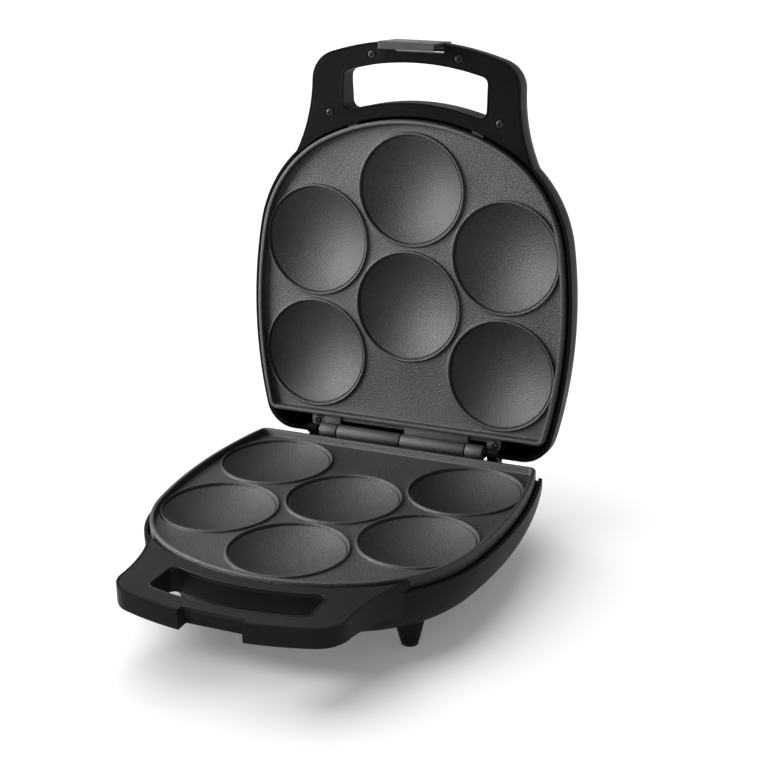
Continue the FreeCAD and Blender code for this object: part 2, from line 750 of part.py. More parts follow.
# Posts under the heat shield stand on the flat of the tub's bottom.
SHIELD_POSTS = [("%s * shield_post_across" % side, "0 - %s" % reach) for side in ("-1", "1")
                for reach in ("shield_post_rear", "shield_post_front")]
ELEMENT_ENDS = [ring_point("element_ring_radius", angle) for angle in (60, 120)]
RING_MIDDLE = "( %s + element_radius + element_seat )" % DECK_UNDER
CLAMP_TOP = "( %s + 0.1 )" % RING_UNDER
EARS = [("%s * ear_across" % side, "0 - ear_reach") for side in ("-1", "1")]


def shell_parts(body, rim_drop, handle_drop, handle_height, rear, corner):
    """A housing's shell, its inner posts, and the holes that are cut once they are joined."""
    bottom = "( %s ) + ( %s )" % (handle_drop, handle_height)
    cover_under = "( %s ) + cover_wall" % handle_drop
    shell = housing(body + "_shape", rim_drop, handle_drop, handle_height, rear, corner)
    posts = []
    holes = []
    for index, (x, y) in enumerate(COVER_SCREWS, start=1):
        floor = bottom if index % 2 == 0 else (
            "%s + %s * ( fairing_start + ( %s ) )" % (bottom, SLOPE, y))
        floor = "( %s - handle_wall / 2 )" % floor
        posts.append(cylinder("%s_cover_post%d" % (body, index), "boss_radius",
                              "%s - ( %s )" % (floor, cover_under), x, y, "0 - %s" % floor))
        holes.append(bore("%s_cover_post%d_hole" % (body, index), x, y, "( %s ) - 1" % cover_under,
                          "%s - ( %s )" % (floor, cover_under)))
    inner_posts = []
    ear_under = "deck_depth + flange_wall"
    for index, (x, y) in enumerate(EARS, start=1):
        inner_posts.append(cylinder("%s_ear_post%d" % (body, index), "ear_radius",
                                    "%s - ( %s )" % (TUB_BOTTOM, ear_under), x, y,
                                    "0 - %s" % TUB_BOTTOM))
        holes.append(bore("%s_ear_post%d_hole" % (body, index), x, y, ear_under + " - 1", "14"))
    for index, (x, y) in enumerate(SHIELD_POSTS, start=1):
        inner_posts.append(cylinder("%s_shield_post%d" % (body, index), "boss_radius + 0.5",
                                    "%s - shield_drop" % TUB_BOTTOM, x, y, "0 - %s" % TUB_BOTTOM))
        holes.append(bore("%s_shield_post%d_hole" % (body, index), x, y, "shield_drop - 1", "11"))
    trimmed = common(body + "_inner_posts", fuse(body + "_posts", inner_posts),
                     tub_solid(body + "_post_limit", "0 - 1", "housing_grow - housing_wall / 2",
                               "wall_curve - housing_wall / 2",
                               "%s - housing_wall / 2" % rear, corner))
    for side in ("-1", "1"):
        holes.append(lug("%s_lug_slot_%s" % (body, side.replace("-", "m")), side,
                         "0", "20", "lug_clearance"))
    holes.append(cylinder(body + "_hinge_room", "barrel_radius + 1.2",
                          "2 * barrel_half_span + 3", "0 - barrel_half_span - 1.5", "0", "0",
                          axis="X"))
    return shell, posts + [trimmed], holes


def lug(name, side, start, end, room):
    """A tongue at the plate's front edge, or with some room round it the slot that it enters."""
    return box(name, ("%s * lug_across - lug_width / 2 - %s" % (side, room),
                      "%s * lug_across + lug_width / 2 + %s" % (side, room)),
               ("0 - plate_front_reach + %s" % start, "0 - plate_front_reach + %s" % end),
               ("0 - deck_depth - lug_drop - lug_wall - %s" % room,
                "0 - deck_depth - lug_drop + %s" % room))


def handle_cover(name, handle_drop, notches, holes):
    """The flat cover that closes a handle, cut round the plate, the grip and the notch."""
    plate = extrude(name + "_blank", handle_outline(
        name + "_outline", "0 - ( %s )" % handle_drop, "0 - cover_inset - cover_clearance"),
        "cover_wall")
    tools = [
        extrude(name + "_plate_side", tray_outline(
            name + "_plate_side_outline", "5", "plate_gap + 0.5", "20", "plate_corner_radius"),
            "40"),
        extrude(name + "_grip", grip_outline(name + "_grip_outline", "5", "0"), "40"),
    ]
    return cut(name, plate, tools + notches + holes)


def plate_with_lugs(name):
    """The cast plate and the two front lugs that reach under the handle's cover."""
    lugs = [lug("%s_lug_%s" % (name, side.replace("-", "m")), side, "3.5", "lug_reach", "0")
            for side in ("-1", "1")]
    return fuse(name + "_with_lugs", [cast_plate(name + "_casting")] + lugs)


def heating_element(name):
    """A tubular element: a ring open at the back, with two legs and their thin end pins."""
    ring = doc.addObject("Part::Torus", name + "_ring")
    ring.Placement = FreeCAD.Placement(
        FreeCAD.Vector(), FreeCAD.Rotation(90 + value_of("element_gap_angle") / 2, 0, 0))
    bind(ring, "Radius1", "element_ring_radius")
    bind(ring, "Radius2", "element_radius")
    bind(ring, "Angle3", "360 - element_gap_angle")
    place(ring, "0", "0 - bowl_centre_reach", "0 - %s" % RING_MIDDLE)
    pieces = [ring]
    for index, (x, y) in enumerate(ELEMENT_ENDS, start=1):
        leg_end = "0 - %s - element_leg" % RING_MIDDLE
        elbow = doc.addObject("Part::Sphere", "%s_elbow%d" % (name, index))
        bind(elbow, "Radius", "element_radius")
        place(elbow, x, y, "0 - %s" % RING_MIDDLE)
        pieces.append(elbow)
        pieces.append(cylinder("%s_leg%d" % (name, index), "element_radius", "element_leg",
                               x, y, leg_end))
        pieces.append(cylinder("%s_pin%d" % (name, index), "element_radius * 0.4",
                               "element_leg * 0.6 + 1", x, y, "%s - element_leg * 0.6" % leg_end))
    return fuse(name, pieces)


def element_clamps(name):
    """Strips that press the ring to the deck, each with a hole over its boss."""
    strips = []
    for index, angle in enumerate(CLAMP_ANGLES, start=1):
        near = "( element_ring_radius - element_radius )"
        strip = doc.addObject("Part::Box", "%s_strip%d" % (name, index))
        strip.Placement = FreeCAD.Placement(FreeCAD.Vector(), FreeCAD.Rotation(angle, 0, 0))
        bind(strip, "Length", "%s + boss_radius - %s" % (BOSS_RING, near))
        bind(strip, "Width", "clamp_width")
        bind(strip, "Height", "clamp_wall")
        place(strip,
              "%s * cos ( %d deg ) + clamp_width / 2 * sin ( %d deg )" % (near, angle, angle),
              "0 - bowl_centre_reach + %s * sin ( %d deg ) - clamp_width / 2 * cos ( %d deg )"
              % (near, angle, angle), "0 - %s - clamp_wall" % CLAMP_TOP)
        x, y = ring_point(BOSS_RING, angle)
        hole = cylinder("%s_hole%d" % (name, index), "screw_radius + screw_fit", "6", x, y,
                        "0 - %s - 4" % CLAMP_TOP)
        strips.append(cut("%s_clamp%d" % (name, index), strip, [hole]))
    return compound(name, strips)


def heat_shield(name):
    """A flat reflector sheet below the element, with holes for the legs and its screws."""
    sheet_metal = extrude(name + "_blank", tray_outline(
        name + "_outline", "0 - shield_drop", "0 - shield_inset",
        "0 - plate_rear_reach - shield_inset", "plate_corner_radius"), "shield_wall", up=True)
    holes = []
    for index, (x, y) in enumerate(ELEMENT_ENDS, start=1):
        holes.append(cylinder("%s_leg_hole%d" % (name, index), "element_radius + 2", "10", x, y,
                              "0 - shield_drop - 5"))
    for index, (x, y) in enumerate(SHIELD_POSTS, start=1):
        holes.append(cylinder("%s_screw_hole%d" % (name, index), "screw_radius + screw_fit",
                              "10", x, y, "0 - shield_drop - 5"))
    return cut(name, sheet_metal, holes)


def thermostat(name, x, y):
    """A snap-disc thermostat against the deck: cup, mounting flange and two terminal tabs."""
    top = "0 - %s - contact_gap" % DECK_UNDER
    cup = cylinder(name + "_cup", "thermostat_radius", "thermostat_height", x, y,
                   "%s - thermostat_height" % top)
    flange = box(name + "_flange",
                 ("%s - 2 * thermostat_radius" % x, "%s + 2 * thermostat_radius" % x),
                 ("%s - thermostat_radius / 2" % y, "%s + thermostat_radius / 2" % y),
                 ("%s - 1" % top, top))
    tabs = []
    for side in ("-1", "1"):
        tabs.append(box("%s_tab_%s" % (name, side.replace("-", "m")),
                        ("%s + %s * thermostat_tab_spread - 0.4" % (x, side),
                         "%s + %s * thermostat_tab_spread + 0.4" % (x, side)),
                        ("%s - 3.2" % y, "%s + 3.2" % y),
                        ("%s - thermostat_height - 7" % top, "%s - thermostat_height + 1" % top)))
    return fuse(name, [cup, flange] + tabs)


def screw_set(name, places, z, length, head_up=True):
    return compound(name, [screw("%s_%d" % (name, index), x, y, z, length, head_up)
                           for index, (x, y) in enumerate(places, start=1)])


def inner_pieces(prefix, lid):
    """The plate of one half with its element, clamps, shield, thermostat and screws."""
    node(plate_with_lugs(prefix + "_plate"), prefix + "_plate", lid)
    node(screw_set(prefix + "_ear_screws", EARS, "0 - deck_depth - screw_head_height / 2", "13"),
         prefix + "_plate_screws", lid)
    node(heating_element(prefix + "_element"), prefix + "_heating_element", lid)
    node(element_clamps(prefix + "_clamps"), prefix + "_element_clamps", lid)
    node(screw_set(prefix + "_clamp_screw", [ring_point(BOSS_RING, a) for a in CLAMP_ANGLES],
                   "0 - %s - clamp_wall" % CLAMP_TOP, "clamp_wall + 5", head_up=False),
         prefix + "_clamp_screws", lid)
    node(heat_shield(prefix + "_shield"), prefix + "_heat_shield", lid)
    node(screw_set(prefix + "_shield_screw", SHIELD_POSTS, "0 - shield_drop + shield_wall", "9"),
         prefix + "_shield_screws", lid)
    node(thermostat(prefix + "_stat", "0", "0 - thermostat_reach"), prefix + "_thermostat", lid)


# ---------------------------------------------------------------- the base half

shell, posts, holes = shell_parts("base", "base_rim_drop", "base_handle_drop",
                                  "base_handle_height", "base_rear", "base_corner_radius")
BASE_BOTTOM = "( base_handle_drop + base_handle_height )"
COVER_UNDER = "( base_handle_drop + cover_wall )"
notch = [
    box("base_notch", ("0 - notch_half_width", "notch_half_width"),
        ("0 - handle_front_reach - 5", "0 - handle_front_reach + notch_depth"), ("-30", "5")),
    box("base_notch_undercut", ("0 - notch_half_width", "notch_half_width"),
        ("0 - handle_front_reach", "0 - handle_front_reach + notch_depth + notch_undercut"),
        ("-30", "0 - notch_ledge")),
]
# The rear wall stops low, where the lid's back edge comes down.
holes.append(box("base_rear_cut", ("-200", "200"), ("0 - plate_rear_reach + 1", "30"),
                 ("0 - wall_straight_to - 2", "10")))
feet = []
FEET = [("%s * foot_across" % side, "0 - %s" % reach)
        for reach in ("front_foot_reach", "rear_foot_reach") for side in ("-1", "1")]
FOOT_TIP = "0 - hinge_height + foot_pad_height"
for index, (x, y) in enumerate(FEET, start=1):
    feet.append(cone("base_foot%d" % index, "foot_tip_radius", "foot_top_radius",
                     "hinge_height - foot_pad_height - %s + foot_sink" % TUB_BOTTOM,
                     x, y, FOOT_TIP))
    holes.append(cylinder("base_foot%d_socket" % index, "foot_peg_radius + 0.05", "4.2", x, y,
                          FOOT_TIP + " - 1"))
# Cover screws come up from below, through the posts; their heads sit in deep seats.
HEAD_LEVEL = "( %s - 3.2 )" % BASE_BOTTOM
for index, (x, y) in enumerate(COVER_SCREWS, start=1):
    holes.append(cylinder("base_cover_screw_way%d" % index, "screw_radius + screw_fit", "60", x, y,
                          "0 - 60 - %s" % COVER_UNDER))
    holes.append(cylinder("base_cover_screw_seat%d" % index, "screw_head_radius + 0.3", "50", x, y,
                          "0 - 50 - %s" % HEAD_LEVEL))
gland_seat = cylinder("base_gland_seat", "gland_radius + gland_flange + 1", "gland_seat_depth",
                      "gland_across", "base_rear - gland_seat_depth", "0 - gland_drop", axis="Y")
holes.append(cylinder("base_gland_hole", "gland_radius + 0.1", "30", "gland_across",
                      "base_rear - 20", "0 - gland_drop", axis="Y"))
tub = cut("base_tub_solid", fuse("base_joined", [shell, gland_seat] + posts + feet), notch + holes)

# Two ribs on the rear wall stop the lid when it is open, under a round bump at each end of
# the hinge that keeps the pin in.
ribs = []
for tag, side in (("left", "-1"), ("right", "1")):
    rib_across = ("%s * lid_stop_across - lid_stop_width / 2" % side,
                  "%s * lid_stop_across + lid_stop_width / 2" % side)
    ribs.append(box("base_lid_stop_" + tag, rib_across,
                    ("base_rear - housing_wall / 2", "base_rear + lid_stop_reach"),
                    ("0 - wall_straight_to - 8", "0 - lid_rear - 1.6")))
    ribs.append(box("base_bump_web_" + tag, rib_across,
                    ("base_rear - housing_wall + 0.2", "base_rear"),
                    ("0 - wall_straight_to - 8", "0")))
    ribs.append(cylinder("base_bump_" + tag, "hinge_bump_radius", "lid_stop_width - 1",
                         "%s * lid_stop_across - lid_stop_width / 2 + %s" % (
                             side, "0" if side == "-1" else "1"), "0", "0", axis="X"))
node(fuse("base_housing_solid", [tub] + ribs), "base_housing")
cover_holes = [bore("base_cover_pilot%d" % index, x, y, "base_handle_drop + cover_wall - 1.3", "1.4")
               for index, (x, y) in enumerate(COVER_SCREWS, start=1)]
node(handle_cover("base_cover", "base_handle_drop", [notch[0]], cover_holes), "base_handle_cover")
node(screw_set("base_cover_screw", COVER_SCREWS, "0 - %s" % HEAD_LEVEL,
               "%s - %s + 1" % (HEAD_LEVEL, COVER_UNDER), head_up=False), "base_handle_screws")
inner_pieces("lower", False)

# The thermal fuse lies against the deck's underside, between the bowls.
fuse_level = "0 - %s - fuse_radius - contact_gap" % DECK_UNDER
fuse_body = cylinder("thermal_fuse_body", "fuse_radius", "fuse_length",
                     "fuse_across + ( fuse_lead_length - fuse_length ) / 2", "0 - fuse_reach",
                     fuse_level, axis="X")
fuse_leads = cylinder("thermal_fuse_leads", "fuse_lead_radius", "fuse_lead_length",
                      "fuse_across", "0 - fuse_reach", fuse_level, axis="X")
node(fuse("thermal_fuse_solid", [fuse_body, fuse_leads]), "thermal_fuse")

BLOCK_UNDER = "( housing_wall + contact_gap - %s )" % TUB_BOTTOM
block = box("terminal_block_body", ("terminal_across", "terminal_across + terminal_length"),
            ("0 - terminal_reach", "0 - terminal_reach + terminal_width"),
            (BLOCK_UNDER, "%s + terminal_height" % BLOCK_UNDER))
wells = [cylinder("terminal_block_well%d" % index, "terminal_well_radius", "terminal_height",
                  "terminal_across + terminal_length / 2 + %d * terminal_pitch" % index,
                  "0 - terminal_reach + terminal_width / 2", "%s + terminal_height / 2" % BLOCK_UNDER)
         for index in (-1, 0, 1)]
node(cut("terminal_block_solid", block, wells), "terminal_block")

gland_tube = cylinder("cord_gland_tube", "gland_radius", "gland_seat_depth + 4", "gland_across",
                      "base_rear - gland_seat_depth - 3", "0 - gland_drop", axis="Y")
gland_rim = cylinder("cord_gland_rim", "gland_radius + gland_flange", "2", "gland_across",
                     "base_rear + contact_gap", "0 - gland_drop", axis="Y")
gland_bore = cylinder("cord_gland_bore", "gland_radius - gland_wall", "40", "gland_across",
                      "base_rear - 30", "0 - gland_drop", axis="Y")
node(cut("cord_gland_solid", fuse("cord_gland_joined", [gland_tube, gland_rim]), [gland_bore]),
     "cord_gland")

pads = []
for index, (x, y) in enumerate(FEET, start=1):
    pad = cylinder("foot_pad%d" % index, "foot_tip_radius - 0.5", "foot_pad_height", x, y,
                   "0 - hinge_height")
    peg = cylinder("foot_pad%d_peg" % index, "foot_peg_radius", "foot_pad_height + 3", x, y,
                   "0 - hinge_height")
    pads.append(fuse("foot_pad%d_joined" % index, [pad, peg]))
node(compound("foot_pad_group", pads), "foot_pads")

pin_rod = cylinder("hinge_pin_rod", "pin_radius", "2 * barrel_half_span + 2",
                   "0 - barrel_half_span - 1", "0", "0", axis="X")
pin_ends = [cylinder("hinge_pin_end%d" % index, "pin_radius + 0.8", "0.8", x, "0", "0", axis="X")
            for index, x in enumerate(("0 - barrel_half_span - 1.2", "barrel_half_span + 0.4"))]
node(fuse("hinge_pin_solid", [pin_rod] + pin_ends), "hinge_pin")

# ---------------------------------------------------------------- the lid half

shell, posts, holes = shell_parts("lid", "lid_rim_drop", "lid_handle_drop", "lid_handle_height",
                                  "lid_rear", "lid_corner_radius")
LATCH_REACH = "( handle_front_reach - latch_pivot_inset )"
latch_room = box("lid_latch_room", ("0 - latch_half_width - latch_side_gap",
                                    "latch_half_width + latch_side_gap"),
                 ("0 - handle_front_reach - 5", "0 - handle_front_reach + latch_room_depth"),
                 ("-60", "5"))
holes.append(cylinder("lid_latch_pin_hole", "latch_pin_radius + pin_clearance",
                      "2 * latch_half_width + 10", "0 - latch_half_width - 5",
                      "0 - %s" % LATCH_REACH, "0 - latch_pivot_height", axis="X"))
LAMPS = [("%s * lamp_across" % side, "0 - lamp_reach") for side in ("-1", "1")]
for index, (x, y) in enumerate(LAMPS, start=1):
    holes.append(cylinder("lid_lamp_hole%d" % index, "lamp_radius + 0.1", "10", x, y,
                          "0 - %s - 5" % TUB_BOTTOM))
lid_housing = cut("lid_housing_solid", fuse("lid_joined", [shell] + posts), [latch_room] + holes)
node(lid_housing, "lid_housing", True)
cover_holes = []
for index, (x, y) in enumerate(COVER_SCREWS, start=1):
    cover_holes.append(cylinder("lid_cover_hole%d" % index, "screw_radius + screw_fit", "10", x, y,
                                "0 - lid_handle_drop - 5"))
    cover_holes.append(cylinder("lid_cover_seat%d" % index, "screw_head_radius + screw_fit", "5",
                                x, y, "0 - lid_handle_drop - 1"))
node(handle_cover("lid_cover", "lid_handle_drop", [latch_room], cover_holes), "lid_handle_cover",
     True)
node(screw_set("lid_cover_screw", COVER_SCREWS, "0 - lid_handle_drop - 1", "10"),
     "lid_handle_screws", True)
inner_pieces("upper", True)

for index, ((x, y), label) in enumerate(zip(LAMPS, ("power_lamp_lens", "ready_lamp_lens"))):
    stem = cylinder(label + "_stem", "lamp_radius", "housing_wall + 1.5", x, y,
                    "0 - %s - 0.2" % TUB_BOTTOM)
    rim = cone(label + "_rim", "lamp_radius * 0.75", "lamp_radius + 0.8", "1.2", x, y,
               "0 - %s - 1.25" % TUB_BOTTOM)
    node(fuse(label + "_solid", [stem, rim]), label, True)
lamps = []
for index, (x, y) in enumerate(LAMPS, start=1):
    bulb = cylinder("lamp%d_bulb" % index, "lamp_radius * 0.7", "8", x, y,
                    "0 - %s + housing_wall + 1.5" % TUB_BOTTOM)
    collar = cylinder("lamp%d_collar" % index, "lamp_radius", "3", x, y,
                      "0 - %s + housing_wall + 6" % TUB_BOTTOM)
    lamps.append(fuse("lamp%d" % index, [bulb, collar]))
node(compound("indicator_lamp_pair", lamps), "indicator_lamps", True)

# ---------------------------------------------------------------- the latch on the lid's handle

latch_rod = cylinder("latch_pin_rod", "latch_pin_radius", "2 * latch_half_width + 8",
                     "0 - latch_half_width - 4", "0 - %s" % LATCH_REACH,
                     "0 - latch_pivot_height", axis="X")
node(compound("latch_pin_group", [latch_rod]), "latch_pin", True)
across = ("0 - latch_half_width", "latch_half_width")
FACE = "( handle_front_reach - latch_face_inset )"
BACK = "( %s - latch_wall )" % FACE
clip_plate = box("latch_plate", across, ("0 - %s" % FACE, "0 - %s" % BACK),
                 ("1 - lid_handle_drop - lid_handle_height", "latch_tip_drop"))
clip_barb = box("latch_barb", across, ("0 - %s" % BACK, "0 - %s + latch_barb_length" % BACK),
                ("latch_tip_drop - latch_barb_height", "latch_tip_drop"))
clip_barrel = cylinder("latch_barrel", "latch_barrel_radius", "2 * latch_half_width",
                       "0 - latch_half_width", "0 - %s" % LATCH_REACH, "0 - latch_pivot_height",
                       axis="X")
clip_groove = box("latch_groove", ("0 - latch_half_width * 0.66", "latch_half_width * 0.66"),
                  ("0 - %s - 1" % FACE, "0 - %s + 1" % FACE),
                  ("latch_groove_drop", "latch_groove_drop + latch_groove_width"))
clip_bore = cylinder("latch_bore", "latch_pin_radius + pin_clearance", "2 * latch_half_width + 2",
                     "0 - latch_half_width - 1", "0 - %s" % LATCH_REACH,
                     "0 - latch_pivot_height", axis="X")
latch = cut("latch_clip_solid", fuse("latch_joined", [clip_plate, clip_barb, clip_barrel]),
            [clip_groove, clip_bore])
node(latch, "latch_clip", True)

# ---------------------------------------------------------------- build, stand and write

doc.recompute()
open_turn = FreeCAD.Rotation(FreeCAD.Vector(1, 0, 0), -value_of("lid_open_angle"))
over_turn = FreeCAD.Rotation(FreeCAD.Vector(0, 1, 0), 180)
for obj, lid in NODES:
    turn = open_turn.multiply(over_turn) if lid else FreeCAD.Rotation()
    obj.Placement = FreeCAD.Placement(FreeCAD.Vector(0, 0, value_of("hinge_height")), turn)
doc.recompute()

# The origin is on the ground under the middle of the part's extent from front to back.
front = min(obj.Shape.BoundBox.YMin for obj, lid in NODES)
back = max(obj.Shape.BoundBox.YMax for obj, lid in NODES)
hinge_setback = -(front + back) / 2
for obj, lid in NODES:
    obj.Placement = FreeCAD.Placement(
        FreeCAD.Vector(0, hinge_setback, value_of("hinge_height")), obj.Placement.Rotation)
doc.recompute()

for obj in doc.Objects:
    if "Invalid" in obj.State or "Error" in obj.State:
        raise RuntimeError("feature failed: %s %s" % (obj.Name, obj.State))
for obj, lid in NODES:
    if obj.Shape.isNull() or not obj.Shape.isValid() or not obj.Shape.Solids:
        raise RuntimeError("bad shape: " + obj.Label)

os.makedirs("parts", exist_ok=True)
for obj, lid in NODES:
    obj.Shape.exportStep("parts/%s.step" % obj.Label)
    extent = obj.Shape.BoundBox
    print("%-24s solids %2d  volume %9.0f  x %7.1f %7.1f  y %7.1f %7.1f  z %7.1f %7.1f" % (
        obj.Label, len(obj.Shape.Solids), obj.Shape.Volume, extent.XMin, extent.XMax,
        extent.YMin, extent.YMax, extent.ZMin, extent.ZMax))
print("nodes", len(NODES), "hinge axis at y", round(hinge_setback, 4), "z",
      value_of("hinge_height"))
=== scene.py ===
import json
import math

import bmesh
import bpy
from mathutils import Matrix, Vector


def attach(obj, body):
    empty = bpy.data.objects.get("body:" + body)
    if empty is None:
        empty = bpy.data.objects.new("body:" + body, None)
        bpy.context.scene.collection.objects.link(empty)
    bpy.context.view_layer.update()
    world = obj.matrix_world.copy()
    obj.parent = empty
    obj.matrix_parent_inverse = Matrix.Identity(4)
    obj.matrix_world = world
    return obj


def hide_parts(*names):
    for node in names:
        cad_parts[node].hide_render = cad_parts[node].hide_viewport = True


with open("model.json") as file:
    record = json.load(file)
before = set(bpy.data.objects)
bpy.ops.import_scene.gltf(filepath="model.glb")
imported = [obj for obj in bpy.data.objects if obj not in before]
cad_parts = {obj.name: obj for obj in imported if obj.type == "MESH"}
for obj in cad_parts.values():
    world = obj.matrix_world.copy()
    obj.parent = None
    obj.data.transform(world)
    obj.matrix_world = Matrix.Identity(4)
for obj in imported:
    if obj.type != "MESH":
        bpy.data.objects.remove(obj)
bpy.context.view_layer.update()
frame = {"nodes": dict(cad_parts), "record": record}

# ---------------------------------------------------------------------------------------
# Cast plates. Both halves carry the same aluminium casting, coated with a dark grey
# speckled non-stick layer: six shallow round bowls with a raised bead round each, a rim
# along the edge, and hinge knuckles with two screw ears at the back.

MM = 0.001
hinge_joint, latch_joint = frame["record"]["behaviour"]["joints"]
hinge = Vector(hinge_joint["pos_m"])
open_angle = math.radians(hinge_joint["range_deg"][1])
base_place = Matrix.Translation(hinge)
lid_place = base_place @ Matrix.Rotation(-open_angle, 4, "X") @ Matrix.Rotation(math.pi, 4, "Y")
halves = (("base", base_place, "lower"), ("lid", lid_place, "upper"))

# Each half is drawn in millimetres from the hinge's axis: x across, y to the rear, z up.
plan = dict(half=112.5, front=220.0, rear=-10.0, widest=-92.0, side_r=321.0,
            shoulder_r=85.0, front_r=138.0)
bowl_pitch = 79.6
bowl_reach = 93.7
bowl_mouth = 36.0
bowl_depth = 12.0
bowl_sides = 112
deck_z = -5.0
knuckle_runs = ((-47.8, -0.2), (48.2, 61.0))
knuckle_r = 5.0
knuckle_bore_r = 2.1
web_floor_z = -8.0
edge_round = 0.5
bowl_spots = [(0, -bowl_reach), (0, -bowl_reach - bowl_pitch)]
bowl_spots += [(side * bowl_pitch * math.sqrt(3) / 2, -bowl_reach + step * bowl_pitch / 2)
               for side in (-1, 1) for step in (-1, 1)]
ear_x = 66.5
ear_y = -5.2


def arc_points(centre, radius, start, end, count):
    """Points on an arc from one angle to another, without the last one."""
    return [(centre[0] + radius * math.cos(start + (end - start) * i / count),
             centre[1] + radius * math.sin(start + (end - start) * i / count))
            for i in range(count)]


def plan_loop(grow, rear, corner):
    """The plate's plan grown outwards: rear line, corners, flanks, shoulders and front arc."""
    side_c = (plan["half"] - plan["side_r"], plan["widest"])
    front_c = (0.0, plan["front_r"] - plan["front"])
    side_r, shoulder_r, front_r = (plan[k] + grow for k in ("side_r", "shoulder_r", "front_r"))
    gap = math.dist(side_c, front_c)
    to_side, to_front = side_r - shoulder_r, front_r - shoulder_r
    along = (to_side ** 2 - to_front ** 2 + gap ** 2) / (2 * gap)
    across = math.sqrt(to_side ** 2 - along ** 2)
    ux, uy = (front_c[0] - side_c[0]) / gap, (front_c[1] - side_c[1]) / gap
    shoulder_c = (side_c[0] + ux * along + uy * across, side_c[1] + uy * along - ux * across)
    rise = rear - corner - side_c[1]
    corner_c = (side_c[0] + math.sqrt((side_r - corner) ** 2 - rise ** 2), rear - corner)
    a_corner = math.atan2(corner_c[1] - side_c[1], corner_c[0] - side_c[0])
    a_side = math.atan2(shoulder_c[1] - side_c[1], shoulder_c[0] - side_c[0])
    a_front = math.atan2(shoulder_c[1] - front_c[1], shoulder_c[0] - front_c[0])
    right = arc_points(front_c, front_r, -math.pi / 2, a_front, 40)
    right += arc_points(shoulder_c, shoulder_r, a_front, a_side, 24)
    right += arc_points(side_c, side_r, a_side, a_corner, 40)
    right += arc_points(corner_c, corner, a_corner, math.pi / 2, 12)
    right += [(corner_c[0] * (1 - i / 16), rear) for i in range(17)]
    return right + [(-x, y) for x, y in reversed(right[1:-1])]


def add_loops(bm, loops):
    """Adds closed rings of 3-D points, each the same length, and skins them in turn."""
    rings = [[bm.verts.new(p) for p in loop] for loop in loops]
    for a, b in zip(rings, rings[1:]):
        for i in range(len(a)):
            j = (i + 1) % len(a)
            bm.faces.new((a[i], a[j], b[j], b[i]))
    return rings


def add_fill(bm, rings, up):
    """Fills the flat region between rings that lie in one plane."""
    edges = []
    for ring in rings:
        for i in range(len(ring)):
            pair = (ring[i], ring[(i + 1) % len(ring)])
            edges.append(bm.edges.get(pair) or bm.edges.new(pair))
    bmesh.ops.triangle_fill(bm, edges=edges, use_beauty=True, normal=(0, 0, up))


def ring_at(centre, radius, z, count):
    """A level circle of points."""
    return [(centre[0] + radius * math.cos(2 * math.pi * i / count),
             centre[1] + radius * math.sin(2 * math.pi * i / count), z) for i in range(count)]


def add_lathe_x(bm, profile, count=48):
    """A turned body about the hinge's own direction: profile of (x, radius)."""
    loops = [[(x, r * math.cos(2 * math.pi * i / count), r * math.sin(2 * math.pi * i / count))
              for i in range(count)] for x, r in profile]
    rings = add_loops(bm, loops)
    bm.faces.new(list(reversed(rings[0])))
    bm.faces.new(rings[-1])


def add_block(bm, low, high):
    """A block with its edges rounded."""
    made = bmesh.ops.create_cube(bm, size=1.0)["verts"]
    for v in made:
        v.co = Vector([low[k] + (v.co[k] + 0.5) * (high[k] - low[k]) for k in range(3)])
    edges = list({e for v in made for e in v.link_edges})
    bmesh.ops.bevel(bm, geom=edges, offset=edge_round, segments=3, profile=0.5, affect="EDGES")


def finish_mesh(bm, name, place):
    """Turns the drawing into a metre mesh in its place, smooth but for its creases."""
    bmesh.ops.remove_doubles(bm, verts=bm.verts, dist=0.002)
    bmesh.ops.recalc_face_normals(bm, faces=bm.faces)
    bmesh.ops.transform(bm, matrix=place @ Matrix.Scale(MM, 4), verts=bm.verts)
    mesh = bpy.data.meshes.new(name)
    bm.to_mesh(mesh)
    bm.free()
    mesh.shade_smooth()
    mesh.set_sharp_from_angle(angle=math.radians(40))
    piece = bpy.data.objects.new(name, mesh)
    bpy.context.collection.objects.link(piece)
    return piece


